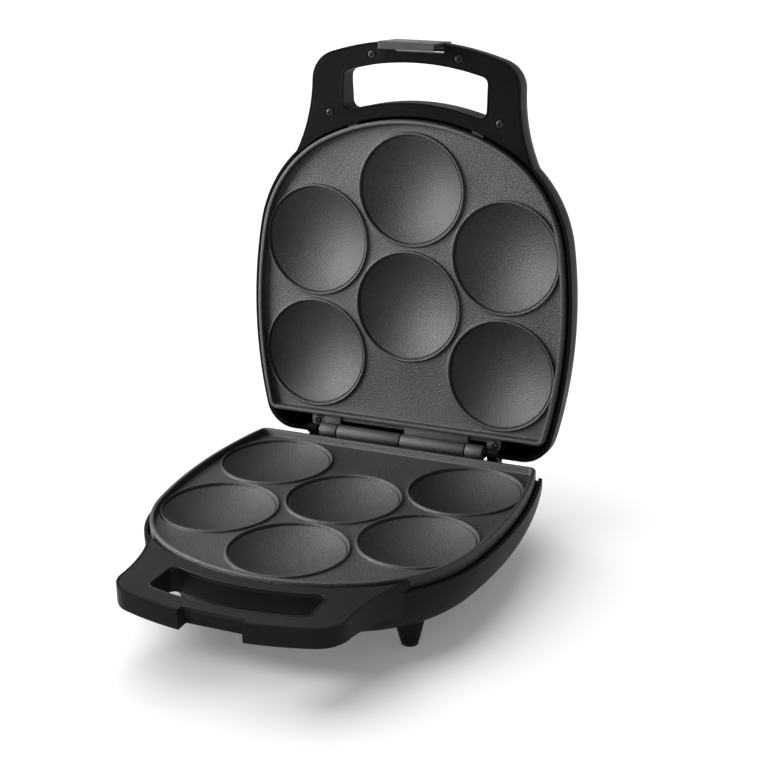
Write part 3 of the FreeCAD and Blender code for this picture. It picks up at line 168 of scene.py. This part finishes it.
def plate_mesh(name, place):
    """The casting: rim and skirt swept round the plan, deck, six bowls, hinge and ears."""
    bm = bmesh.new()
    rim = [(-4.1, deck_z), (-3.75, deck_z + 0.06), (-3.4, deck_z + 0.3), (-3.2, deck_z + 0.7),
           (-2.95, -1.1), (-2.8, -0.6), (-2.5, -0.26), (-2.1, -0.16), (-1.1, -0.16),
           (-0.6, -0.28), (-0.2, -0.6), (0.0, -1.1), (0.0, -11.3), (-0.3, -11.85),
           (-0.8, -12.0), (-1.7, -12.0), (-2.2, -11.5), (-2.2, -7.5)]
    loops = []
    for grow, z in rim:
        loop = plan_loop(grow, plan["rear"] + grow, max(6.0 + grow, 2.0))
        loops.append([(x, y, z) for x, y in loop])
    rings = add_loops(bm, loops)
    dome_r = (bowl_mouth ** 2 + bowl_depth ** 2) / (2 * bowl_depth)
    dome_z = deck_z - bowl_depth + dome_r
    dome_edge = bowl_mouth - 0.7
    dome_steps = 22
    bead = [(39.2, 0.0), (38.9, 0.05), (38.7, 0.22), (38.55, 0.6), (38.45, 1.15), (38.2, 1.5),
            (37.75, 1.66), (37.25, 1.6), (36.85, 1.3), (36.65, 0.8), (36.55, 0.0),
            (36.45, -0.55), (36.25, -0.85), (35.95, -0.9), (35.7, -0.7), (35.5, -0.48)]
    mouths = []
    for spot in bowl_spots:
        loops = [ring_at(spot, r, deck_z + lift, bowl_sides) for r, lift in bead]
        for step in range(1, dome_steps):
            r = dome_edge * math.cos(step / dome_steps * math.pi / 2)
            loops.append(ring_at(spot, r, dome_z - math.sqrt(dome_r ** 2 - r ** 2), bowl_sides))
        bowl = add_loops(bm, loops)
        tip = bm.verts.new((spot[0], spot[1], deck_z - bowl_depth))
        for i in range(len(bowl[-1])):
            bm.faces.new((bowl[-1][i], bowl[-1][(i + 1) % len(bowl[-1])], tip))
        mouths.append(bowl[0])
    add_fill(bm, [rings[0]] + mouths, 1)
    for x0, x1 in knuckle_runs:
        half_turned = [(0.0, knuckle_bore_r), (0.0, knuckle_r - 0.6), (0.25, knuckle_r - 0.2),
                       (0.7, knuckle_r)]
        add_lathe_x(bm, [(x0 + inset, r) for inset, r in half_turned]
                    + [(x1 - inset, r) for inset, r in half_turned[::-1]])
        add_block(bm, (x0, -11.0, web_floor_z), (x1, 0.0, -3.6))
    add_block(bm, (-ear_x, -11.0, web_floor_z), (ear_x, -6.2, deck_z))
    for side in (-1, 1):
        for low, high, rear in ((60.9, 68.5, -0.7), (64.5, 71.0, -3.6)):
            ends = sorted((side * low, side * high))
            add_block(bm, (ends[0], -9.8, web_floor_z), (ends[1], rear, deck_z))
        spot = (side * 67.9, -3.9)
        ear = [(3.1, web_floor_z), (3.1, -5.5), (2.85, -5.12), (2.4, deck_z), (0.5, -4.98)]
        rings = add_loops(bm, [ring_at(spot, r, z, 40) for r, z in ear])
        bm.faces.new(rings[-1])
        bm.faces.new(list(reversed(rings[0])))
        add_block(bm, (side * 45 - 4, -216.5, -9.9), (side * 45 + 4, -210.0, -7.4))
    return finish_mesh(bm, name, place)


class Wire:
    """One output of a node; arithmetic on it adds Math nodes."""

    def __init__(self, graph, socket):
        self.graph = graph
        self.socket = socket

    def maths(self, operation, first, second):
        return self.graph.add("ShaderNodeMath", {"operation": operation}, {0: first, 1: second})

    def __add__(self, other):
        return self.maths("ADD", self, other)

    def __mul__(self, other):
        return self.maths("MULTIPLY", self, other)

    def __sub__(self, other):
        return self.maths("SUBTRACT", self, other)

    def __rsub__(self, other):
        return self.maths("SUBTRACT", other, self)

    __radd__ = __add__
    __rmul__ = __mul__


class Graph:
    """A node tree: add() makes any node from its type, its settings and its sockets' values."""

    def __init__(self, tree):
        self.tree = tree

    def put(self, socket, value):
        for each in value if isinstance(value, list) else [value]:
            if isinstance(each, Wire):
                self.tree.links.new(each.socket, socket)
            else:
                socket.default_value = each

    def add(self, kind, settings=None, inputs=None, out=0):
        made = self.tree.nodes.new(kind)
        for key, value in (settings or {}).items():
            setattr(made, key, value)
        for key, value in (inputs or {}).items():
            self.put(made.inputs[key], value)
        return Wire(self, made.outputs[out])


class Finish(Graph):
    """A material's nodes; dress() drives the main shader's sockets and returns the material."""

    def __init__(self, name):
        self.material = bpy.data.materials.new(name)
        self.material.use_nodes = True
        super().__init__(self.material.node_tree)
        self.place = self.add("ShaderNodeTexCoord", out=3)

    def noise(self, scale, detail=3.0, rough=0.5, stretch=None):
        place = self.place
        if stretch:
            place = self.add("ShaderNodeMapping", {}, {"Vector": place, "Scale": stretch})
        return self.add("ShaderNodeTexNoise", {}, {"Vector": place, "Scale": scale,
                                                   "Detail": detail, "Roughness": rough})

    def cells(self, scale):
        return self.add("ShaderNodeTexVoronoi", {"feature": "F1"},
                        {"Vector": self.place, "Scale": scale})

    def mix(self, factor, first, second):
        return self.add("ShaderNodeMix", {"data_type": "RGBA"},
                        {0: factor, 6: first, 7: second}, out=2)

    def spread(self, value, low, high, out_low=0.0, out_high=1.0):
        return self.add("ShaderNodeMapRange", {}, {0: value, 1: low, 2: high, 3: out_low,
                                                   4: out_high})

    def bump(self, height, depth, strength=1.0, under=None):
        extra = {"Normal": under} if under else {}
        return self.add("ShaderNodeBump", {}, {"Height": height, "Distance": depth,
                                               "Strength": strength, **extra})

    def rounded(self, radius):
        """Normals of edges that the mould leaves slightly round."""
        return self.add("ShaderNodeBevel", {"samples": 4}, {"Radius": radius})

    def dress(self, **sockets):
        shader = self.tree.nodes["Principled BSDF"]
        for key, value in sockets.items():
            self.put(shader.inputs[key.replace("_", " ")], value)
        return self.material


def grey(level, warm=1.0):
    """A neutral colour; warm above 1 leans to red, below 1 to blue."""
    return (level * warm, level, level / warm, 1.0)


def cover(piece, material):
    piece.data.materials.clear()
    piece.data.materials.append(material)


coat = Finish("speckled_nonstick")
orange_peel = coat.noise(1200.0, 2.0, 0.7)
cloud = coat.noise(14.0)
fleck = coat.spread(coat.cells(1100.0), 0.16, 0.05)
sand = coat.spread(orange_peel + cloud * 0.2, 0.48, 0.72)
coat_colour = coat.mix(sand, grey(0.003, 0.99), grey(0.017, 0.99))
coat_material = coat.dress(
    Base_Color=coat.mix(fleck * 0.5, coat_colour, grey(0.15)),
    Roughness=coat.spread(orange_peel, 0.3, 0.7, 0.44, 0.58),
    Specular_IOR_Level=0.42,
    Normal=coat.bump(orange_peel, 0.0005, 1.0))
for body, place, half in halves:
    casting = plate_mesh(half + "_plate_casting", place)
    cover(casting, coat_material)
    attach(casting, body)
    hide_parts(half + "_plate")

# ---------------------------------------------------------------------------------------
# Housings. The base tub and the lid are injection moulded in black plastic with a fine
# eroded grain; each has a loop handle, closed by a flat cover that screws hold.


def moulded(name, level, rough, grain_scale, grain_depth, shine):
    """A black finish with a fine grain, faint haze and a few handling scuffs."""
    net = Finish(name)
    grain = net.noise(grain_scale, 2.0, 0.6)
    haze = net.noise(22.0, 4.0, 0.55)
    scuff = net.spread(net.noise(7.0, 5.0, 0.7, (1.0, 9.0, 5.0)), 0.62, 0.7)
    colour = net.mix(net.spread(haze, 0.35, 0.65), grey(level * 0.9, 0.98),
                     grey(level * 1.15, 0.98))
    return net.dress(Base_Color=colour,
                     Roughness=net.spread(haze + grain * 0.3 + scuff * 0.25, 0.45, 0.85,
                                          rough, rough + 0.14),
                     Specular_IOR_Level=shine,
                     Normal=net.bump(grain, grain_depth, 0.5, net.rounded(0.0008)))


housing_material = moulded("moulded_black", 0.01, 0.38, 2600.0, 0.00005, 0.05)
cover_material = moulded("satin_black", 0.002, 0.34, 3400.0, 0.00003, 0.04)
base_cover_material = moulded("grained_black", 0.008, 0.36, 2600.0, 0.00005, 0.14)
for node in ("base_housing", "lid_housing"):
    cover(frame["nodes"][node], housing_material)
cover(frame["nodes"]["base_handle_cover"], base_cover_material)
cover(frame["nodes"]["lid_handle_cover"], cover_material)

handle = dict(front_r=195.0, reach=271.5, bar=14.5, grip_end=40.5, grip_half=51.5,
              grip_corner=5.0)


def grip_loop(grow):
    """The edge of the finger opening: two arcs about the handle's centre and round corners."""
    centre_y = handle["front_r"] - handle["reach"]
    outer = handle["front_r"] - handle["bar"] + grow
    inner = handle["front_r"] - handle["grip_end"] - grow
    corner, half = handle["grip_corner"] + grow, handle["grip_half"] + grow
    across = half - corner
    low = (across, centre_y - math.sqrt((outer - corner) ** 2 - across ** 2))
    high = (across, centre_y - math.sqrt((inner + corner) ** 2 - across ** 2))
    a_low = math.atan2(low[1] - centre_y, across)
    a_high = math.atan2(high[1] - centre_y, across)
    right = arc_points((0.0, centre_y), outer, -math.pi / 2, a_low, 24)
    right += arc_points(low, corner, a_low, 0.0, 8)
    right += arc_points(high, corner, 0.0, a_high + math.pi, 8)
    right += arc_points((0.0, centre_y), inner, a_high, -math.pi / 2, 24)
    right.append((0.0, centre_y - inner))
    return right + [(-x, y) for x, y in reversed(right[1:-1])]


def tree_with(name, sizes):
    """A Geometry Nodes tree with named number inputs; returns its graph and their wires."""
    tree = bpy.data.node_groups.new(name, "GeometryNodeTree")
    tree.interface.new_socket(name="Geometry", in_out="INPUT", socket_type="NodeSocketGeometry")
    for label in sizes:
        tree.interface.new_socket(name=label, in_out="INPUT", socket_type="NodeSocketFloat")
    tree.interface.new_socket(name="Finish", in_out="INPUT", socket_type="NodeSocketMaterial")
    tree.interface.new_socket(name="Geometry", in_out="OUTPUT", socket_type="NodeSocketGeometry")
    graph = Graph(tree)
    graph.add("NodeGroupInput")
    entry = tree.nodes[-1]
    return graph, [Wire(graph, socket) for socket in entry.outputs[:len(sizes) + 2]]


def end_tree(graph, geometry, finish):
    """Every tree ends with real geometry that has its material."""
    real = graph.add("GeometryNodeRealizeInstances", {}, {0: geometry})
    painted = graph.add("GeometryNodeSetMaterial", {}, {"Geometry": real, "Material": finish})
    way_out = graph.tree.nodes.new("NodeGroupOutput")
    graph.put(way_out.inputs[0], painted)


def grow_from(mesh, name, graph, values, place, smooth_angle=35):
    """Runs a tree on a guide mesh and keeps only the plain mesh that comes out."""
    guide = bpy.data.objects.new(name + "_guide", mesh)
    bpy.context.collection.objects.link(guide)
    modifier = guide.modifiers.new("grow", "NODES")
    modifier.node_group = graph.tree
    for item in graph.tree.interface.items_tree:
        if item.in_out == "INPUT" and item.name in values:
            modifier[item.identifier] = values[item.name]
    guide.update_tag()
    bpy.context.view_layer.update()
    evaluated = guide.evaluated_get(bpy.context.evaluated_depsgraph_get())
    result = bpy.data.meshes.new_from_object(evaluated)
    guide.modifiers.remove(modifier)
    bpy.data.objects.remove(guide)
    result.transform(place @ Matrix.Scale(MM, 4))
    result.shade_smooth()
    result.set_sharp_from_angle(angle=math.radians(smooth_angle))
    piece = bpy.data.objects.new(name, result)
    bpy.context.collection.objects.link(piece)
    return piece


def path_mesh(paths, closed):
    """A guide mesh of one or more polylines."""
    points = [p for path in paths for p in path]
    edges = []
    start = 0
    for path in paths:
        last = len(path) if closed else len(path) - 1
        edges += [(start + i, start + (i + 1) % len(path)) for i in range(last)]
        start += len(path)
    mesh = bpy.data.meshes.new("path")
    mesh.from_pydata(points, edges, [])
    return mesh


# A round bar swept along a path: the lips round the grips, the heaters and their pins.
bar, (bar_path, bar_radius, bar_finish) = tree_with("round_bar", ["Bar Radius"])
bar_line = bar.add("GeometryNodeMeshToCurve", {}, {"Mesh": bar_path})
bar_section = bar.add("GeometryNodeCurvePrimitiveCircle", {}, {"Resolution": 14,
                                                               "Radius": bar_radius})
bar_skin = bar.add("GeometryNodeCurveToMesh", {}, {"Curve": bar_line, "Profile Curve": bar_section,
                                                  "Fill Caps": True})
end_tree(bar, bar_skin, bar_finish)

lip_r = 0.6
lip_gap = 0.75
lips = {"base": (-2.15, "black_plastic", housing_material),
        "lid": (-5.15, "cover_plastic", cover_material)}
for body, place, half in halves:
    z, slot, material = lips[body]
    lip_path = path_mesh([[(x, y, z) for x, y in grip_loop(lip_gap)]], True)
    lip = grow_from(lip_path, body + "_grip_lip", bar, {"Bar Radius": lip_r, "Finish": material},
                    place)
    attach(lip, body)

# ---------------------------------------------------------------------------------------
# Latch and pins. A black clip turns on a steel pin in the lid's bar and hooks under the
# ledge of the base's bar; a longer steel pin joins the knuckles of both plates.

clip_material = moulded("clip_black", 0.012, 0.3, 3000.0, 0.00003, 0.4)
cover(frame["nodes"]["latch_clip"], clip_material)


def metal(name, level, warm, rough, grain_stretch, stain=0.25):
    """Metal with a drawn or brushed grain and uneven darker patches."""
    net = Finish(name)
    lines = net.noise(260.0, 3.0, 0.6, grain_stretch)
    patch = net.noise(60.0, 4.0, 0.6)
    colour = net.mix(net.spread(patch, 0.35, 0.7), grey(level, warm),
                     grey(level * (1 - stain), warm))
    return net.dress(Base_Color=colour, Metallic=1.0,
                     Roughness=net.spread(lines + patch * 0.5, 0.4, 1.1, rough, rough + 0.18),
                     Normal=net.bump(lines, 0.00002, 0.4))


pin_material = metal("oiled_steel", 0.05, 1.0, 0.4, (0.04, 4.0, 4.0))
for node in ("hinge_pin", "latch_pin"):
    cover(frame["nodes"][node], pin_material)

# ---------------------------------------------------------------------------------------
# Screws. Blackened pan-head screws with a cross recess: two through the ears of each
# plate, four in each handle, and those that hold the clamps and shields inside.

screw_material = moulded("blackened_screw", 0.008, 0.3, 900.0, 0.00003, 0.16)
bit, (bit_spots, head_radius, head_height, shank_radius, slot_length, slot_width,
      bit_finish) = tree_with("pan_screw", ["Head Radius", "Head Height", "Shank Radius",
                                            "Recess Length", "Recess Width"])


def disc(low_radius, high_radius, low, high):
    """A ring-shaped step of the screw's head between two heights."""
    cone = bit.add("GeometryNodeMeshCone", {}, {"Vertices": 28, "Radius Top": high_radius,
                                                "Radius Bottom": low_radius, "Depth": high - low})
    lift = bit.add("ShaderNodeCombineXYZ", {}, {"Z": low})
    return bit.add("GeometryNodeTransform", {}, {"Geometry": cone, "Translation": lift})


steps = [(1.0, 0.98, 0.0, 0.45), (0.98, 0.86, 0.45, 0.75), (0.86, 0.6, 0.75, 0.94),
         (0.6, 0.3, 0.94, 1.0)]
head = None
for low_part, high_part, low, high in steps:
    step = disc(head_radius * low_part, head_radius * high_part, head_height * low,
                head_height * high)
    head = step if head is None else bit.add(
        "GeometryNodeMeshBoolean", {"operation": "UNION", "solver": "EXACT"}, {1: [head, step]})
arms = []
for size in ({"X": slot_length, "Y": slot_width}, {"X": slot_width, "Y": slot_length}):
    block_size = bit.add("ShaderNodeCombineXYZ", {}, {**size, "Z": head_height * 1.2})
    block = bit.add("GeometryNodeMeshCube", {}, {"Size": block_size})
    lift = bit.add("ShaderNodeCombineXYZ", {}, {"Z": head_height})
    arms.append(bit.add("GeometryNodeTransform", {}, {"Geometry": block, "Translation": lift}))
head = bit.add("GeometryNodeMeshBoolean", {"operation": "DIFFERENCE", "solver": "EXACT"},
               {0: head, 1: arms})
rod = bit.add("GeometryNodeMeshCone", {}, {"Vertices": 16, "Radius Top": shank_radius,
                                           "Radius Bottom": shank_radius * 0.7, "Depth": 1.0})
rod = bit.add("GeometryNodeTransform", {}, {"Geometry": rod, "Translation": (0.0, 0.0, -1.0)})
aim = bit.add("GeometryNodeInputNamedAttribute", {"data_type": "FLOAT_VECTOR"}, {"Name": "aim"})
spin = bit.add("GeometryNodeInputNamedAttribute", {"data_type": "FLOAT"}, {"Name": "spin"})
length = bit.add("GeometryNodeInputNamedAttribute", {"data_type": "FLOAT"}, {"Name": "length"})
turned = bit.add("FunctionNodeAlignRotationToVector", {"axis": "Z"}, {"Vector": aim})
about = bit.add("FunctionNodeAxisAngleToRotation", {}, {"Axis": (0.0, 0.0, 1.0), "Angle": spin})
turned = bit.add("FunctionNodeRotateRotation", {"rotation_space": "LOCAL"},
                 {"Rotation": turned, "Rotate By": about})
heads = bit.add("GeometryNodeInstanceOnPoints", {},
                {"Points": bit_spots, "Instance": head, "Rotation": turned})
stretch = bit.add("ShaderNodeCombineXYZ", {}, {"X": 1.0, "Y": 1.0, "Z": length})
rods = bit.add("GeometryNodeInstanceOnPoints", {},
               {"Points": bit_spots, "Instance": rod, "Rotation": turned, "Scale": stretch})
end_tree(bit, bit.add("GeometryNodeJoinGeometry", {}, {0: [heads, rods]}), bit_finish)

cover_spots = [(side * x, y) for side in (-1, 1) for x, y in ((61.0, -221.0), (31.0, -261.0))]
ear_spots = [(side * ear_x, ear_y) for side in (-1, 1)]
clamp_r = 49.95
clamp_spots = [(clamp_r * math.cos(math.radians(a)),
                -bowl_reach + clamp_r * math.sin(math.radians(a))) for a in (180, 240, 300, 0)]
shield_spots = [(side * 58.0, y) for side in (-1, 1) for y in (-60.0, -140.0)]
# For each kind: its spots, and for each body the seat's height, the way the head faces (1 is
# up) and the shank's length.
screw_sets = {"handle": (cover_spots, {"base": (-11.3, -1, 8.1), "lid": (-6.0, 1, 10.0)}),
              "plate": (ear_spots, {"base": (-5.9, 1, 13.0), "lid": (-5.9, 1, 13.0)}),
              "clamp": (clamp_spots, {"base": (-15.5, -1, 6.2), "lid": (-15.5, -1, 6.2)}),
              "shield": (shield_spots, {"base": (-26.2, 1, 9.0), "lid": (-26.2, 1, 9.0)})}
for body, place, half in halves:
    spots = []
    for kind, (places, levels) in screw_sets.items():
        z, way, rod_length = levels[body]
        spots += [((x, y, z), (0.0, 0.0, way), 0.7 * len(spots) + 0.9 * i, rod_length)
                  for i, (x, y) in enumerate(places)]
    points = bpy.data.meshes.new("screw_spots")
    points.from_pydata([spot[0] for spot in spots], [], [])
    for label, kind, column in (("aim", "FLOAT_VECTOR", 1), ("spin", "FLOAT", 2),
                                ("length", "FLOAT", 3)):
        field = points.attributes.new(label, kind, "POINT")
        for item, spot in zip(field.data, spots):
            if kind == "FLOAT":
                item.value = spot[column]
            else:
                item.vector = spot[column]
    screws = grow_from(points, body + "_screws", bit,
                       {"Head Radius": 2.95, "Head Height": 1.75, "Shank Radius": 1.55,
                        "Recess Length": 3.5, "Recess Width": 0.8, "Finish": screw_material},
                       place, 25)
    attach(screws, body)
    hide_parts(body + "_handle_screws", half + "_plate_screws", half + "_clamp_screws",
                half + "_shield_screws")

# ---------------------------------------------------------------------------------------
# Heaters. Under each plate a sheathed tube is bent into a ring, with two legs that carry
# thin pins; strips clamp it to the deck, over a bright sheet that throws the heat back.

sheath = Finish("scaled_sheath")
scale_patch = sheath.noise(90.0, 5.0, 0.65)
sheath_material = sheath.dress(
    Base_Color=sheath.mix(sheath.spread(scale_patch, 0.35, 0.65), grey(0.1, 1.06), grey(0.2, 1.15)),
    Metallic=0.8, Roughness=sheath.spread(scale_patch, 0.3, 0.7, 0.35, 0.6),
    Normal=sheath.bump(scale_patch, 0.00003, 0.5))
ring_r = 42.0
ring_z = -10.95
tube_r = 3.25
pin_r = 1.3
leg_length = 11.0
leg_bend = 4.5
ring_start, ring_end = math.radians(120.0), math.radians(420.0)
ring_path = arc_points((0.0, -bowl_reach), ring_r, ring_start, ring_end, 90)
ring_path.append((ring_r * math.cos(ring_end), -bowl_reach + ring_r * math.sin(ring_end)))
leg_ends = (ring_path[0], ring_path[-1])
legs = [[(x, y, ring_z - leg_length)]
        + [(x, y, ring_z - leg_bend + leg_bend * i / 4) for i in range(4)] for x, y in leg_ends]
heater_path = legs[0] + [(x, y, ring_z) for x, y in ring_path] + legs[1][::-1]
pin_paths = [[(x, y, ring_z - 10.0), (x, y, ring_z - 17.6)] for x, y in leg_ends]
for body, place, half in halves:
    heater = grow_from(path_mesh([heater_path], False), half + "_heater", bar,
                       {"Bar Radius": tube_r, "Finish": sheath_material}, place)
    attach(heater, body)
    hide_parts(half + "_heating_element")
    pins = grow_from(path_mesh(pin_paths, False), half + "_heater_pins", bar,
                     {"Bar Radius": pin_r, "Finish": sheath_material}, place)
    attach(pins, body)

sheet_material = metal("zinc_sheet", 0.6, 0.99, 0.3, (1.0, 0.08, 1.0), stain=0.15)
shell_material = metal("pressed_shell", 0.6, 1.01, 0.28, (1.0, 1.0, 0.1), stain=0.1)
for body, place, half in halves:
    cover(frame["nodes"][half + "_element_clamps"], sheet_material)
    cover(frame["nodes"][half + "_heat_shield"], sheet_material)
    cover(frame["nodes"][half + "_thermostat"], shell_material)

# ---------------------------------------------------------------------------------------
# Wiring parts. A fuse in a woven sleeve, a white terminal block, the rubber grommet of
# the cord's inlet, two lamps behind tinted lenses, and soft pads under the four feet.

sleeve = Finish("woven_sleeve")
strand_a = sleeve.add("ShaderNodeTexWave", {"bands_direction": "DIAGONAL"},
                      {"Vector": sleeve.place, "Scale": 700.0})
strand_b = sleeve.add("ShaderNodeTexWave", {"bands_direction": "X"},
                      {"Vector": sleeve.place, "Scale": 900.0})
weave = strand_a * strand_b
cover(frame["nodes"]["thermal_fuse"], sleeve.dress(
    Base_Color=sleeve.mix(weave, grey(0.5, 1.05), grey(0.78, 1.03)), Roughness=0.8,
    Normal=sleeve.bump(weave, 0.0001, 0.6)))

block = Finish("fired_block")
speck = block.spread(block.noise(500.0), 0.62, 0.7)
cover(frame["nodes"]["terminal_block"], block.dress(
    Base_Color=block.mix(speck, grey(0.8, 1.03), grey(0.5, 1.08)), Roughness=0.55,
    Normal=block.bump(block.noise(800.0), 0.00004, 0.4)))


def rubber(name, level):
    """Matt black rubber with paler dust in its grain."""
    net = Finish(name)
    grain = net.noise(1500.0, 3.0, 0.7)
    dust = net.spread(net.noise(45.0, 5.0, 0.7), 0.5, 0.75)
    return net.dress(Base_Color=net.mix(dust, grey(level), grey(level * 2.2, 1.03)),
                     Roughness=net.spread(grain, 0.3, 0.7, 0.6, 0.8), Specular_IOR_Level=0.3,
                     Normal=net.bump(grain, 0.00008, 0.6))


cover(frame["nodes"]["cord_gland"], rubber("grommet_rubber", 0.012))
cover(frame["nodes"]["foot_pads"], rubber("foot_rubber", 0.01))

for node, colour in (("power_lamp_lens", (0.45, 0.015, 0.01, 1.0)),
                     ("ready_lamp_lens", (0.02, 0.3, 0.05, 1.0))):
    lens = Finish(node.replace("_lamp", "_tinted"))
    depth_tint = lens.spread(lens.noise(300.0, 2.0), 0.3, 0.7)
    dark = tuple(0.6 * c for c in colour[:3]) + (1.0,)
    cover(frame["nodes"][node], lens.dress(
        Base_Color=lens.mix(depth_tint, colour, dark), Roughness=0.12, Coat_Weight=0.4,
        Normal=lens.bump(lens.cells(600.0), 0.00005, 0.2)))
lamp = Finish("lamp_glass")
cover(frame["nodes"]["indicator_lamps"], lamp.dress(
    Base_Color=lamp.mix(lamp.spread(lamp.noise(200.0), 0.4, 0.6), grey(0.7, 1.08), grey(0.5, 1.12)),
    Roughness=lamp.spread(lamp.noise(120.0), 0.3, 0.7, 0.06, 0.2)))

# ---------------------------------------------------------------------------------------
# Studio: a pale sheet on the floor under a pale sky, one very broad light above, a soft box
# low on the left whose flags keep it off the floor, both housings and the base's handle cover, and
# a long lens.

floor_mesh = bpy.data.meshes.new("floor")
paper_roll = bmesh.new()
bmesh.ops.create_grid(paper_roll, x_segments=1, y_segments=1, size=60.0)
paper_roll.to_mesh(floor_mesh)
paper_roll.free()
floor = bpy.data.objects.new("floor", floor_mesh)
bpy.context.collection.objects.link(floor)
paper = Finish("paper_sweep")
cover(floor, paper.dress(Base_Color=grey(0.96), Roughness=0.9, Specular_IOR_Level=0.0,
                         Emission_Color=grey(1.0), Emission_Strength=0.15))

world = bpy.data.worlds.new("studio")
bpy.context.scene.world = world
world.use_nodes = True
sky = Graph(world.node_tree)
toward = sky.add("ShaderNodeTexCoord")
upward = sky.add("ShaderNodeSeparateXYZ", {}, {0: toward}, out=2)
sky_level = sky.add("ShaderNodeMapRange", {}, {0: upward, 1: 0.06, 2: 0.3, 3: 1.0, 4: 0.22})
sky.put(world.node_tree.nodes["Background"].inputs["Strength"], sky_level)
world.node_tree.nodes["Background"].inputs["Color"].default_value = grey(1.0)


def hang_light(name, kind, spot, power, **settings):
    """A lamp that points at the middle of the object."""
    lamp_data = bpy.data.lights.new(name, kind)
    lamp_data.energy = power
    for key, value in settings.items():
        setattr(lamp_data, key, value)
    holder = bpy.data.objects.new(name, lamp_data)
    holder.location = spot
    holder.rotation_euler = (Vector((0.0, 0.0, 0.12)) - Vector(spot)).to_track_quat(
        "-Z", "Y").to_euler()
    bpy.context.collection.objects.link(holder)
    return holder


hang_light("back_sky", "SUN", (-0.65, 0.3, 1.7), 2.8, angle=math.radians(70.0))
key = hang_light("front_key", "AREA", (-1.28, -0.6, 0.64), 80.0, size=0.9)
flagged = bpy.data.collections.new("flagged_from_key")
flagged.objects.link(floor)
for node in ("lid_housing", "base_housing", "base_handle_cover"):
    flagged.objects.link(frame["nodes"][node])
for member in flagged.collection_objects:
    member.light_linking.link_state = "EXCLUDE"
key.light_linking.receiver_collection = flagged

camera_turns = ((24.44, "Z"), (69.49, "X"), (-1.31, "Z"))
camera_from_hinge = Vector((0.44986, -1.01678, 0.45809))
camera = bpy.data.objects.new("camera", bpy.data.cameras.new("camera"))
camera.data.sensor_width = 36.0
camera.data.lens = 81.61
camera.data.clip_end = 120.0
camera.matrix_world = Matrix.Translation(hinge + camera_from_hinge)
for degrees, axis in camera_turns:
    camera.matrix_world = camera.matrix_world @ Matrix.Rotation(math.radians(degrees), 4, axis)
bpy.context.collection.objects.link(camera)
bpy.context.scene.camera = camera
bpy.context.scene.view_settings.view_transform = "Standard"
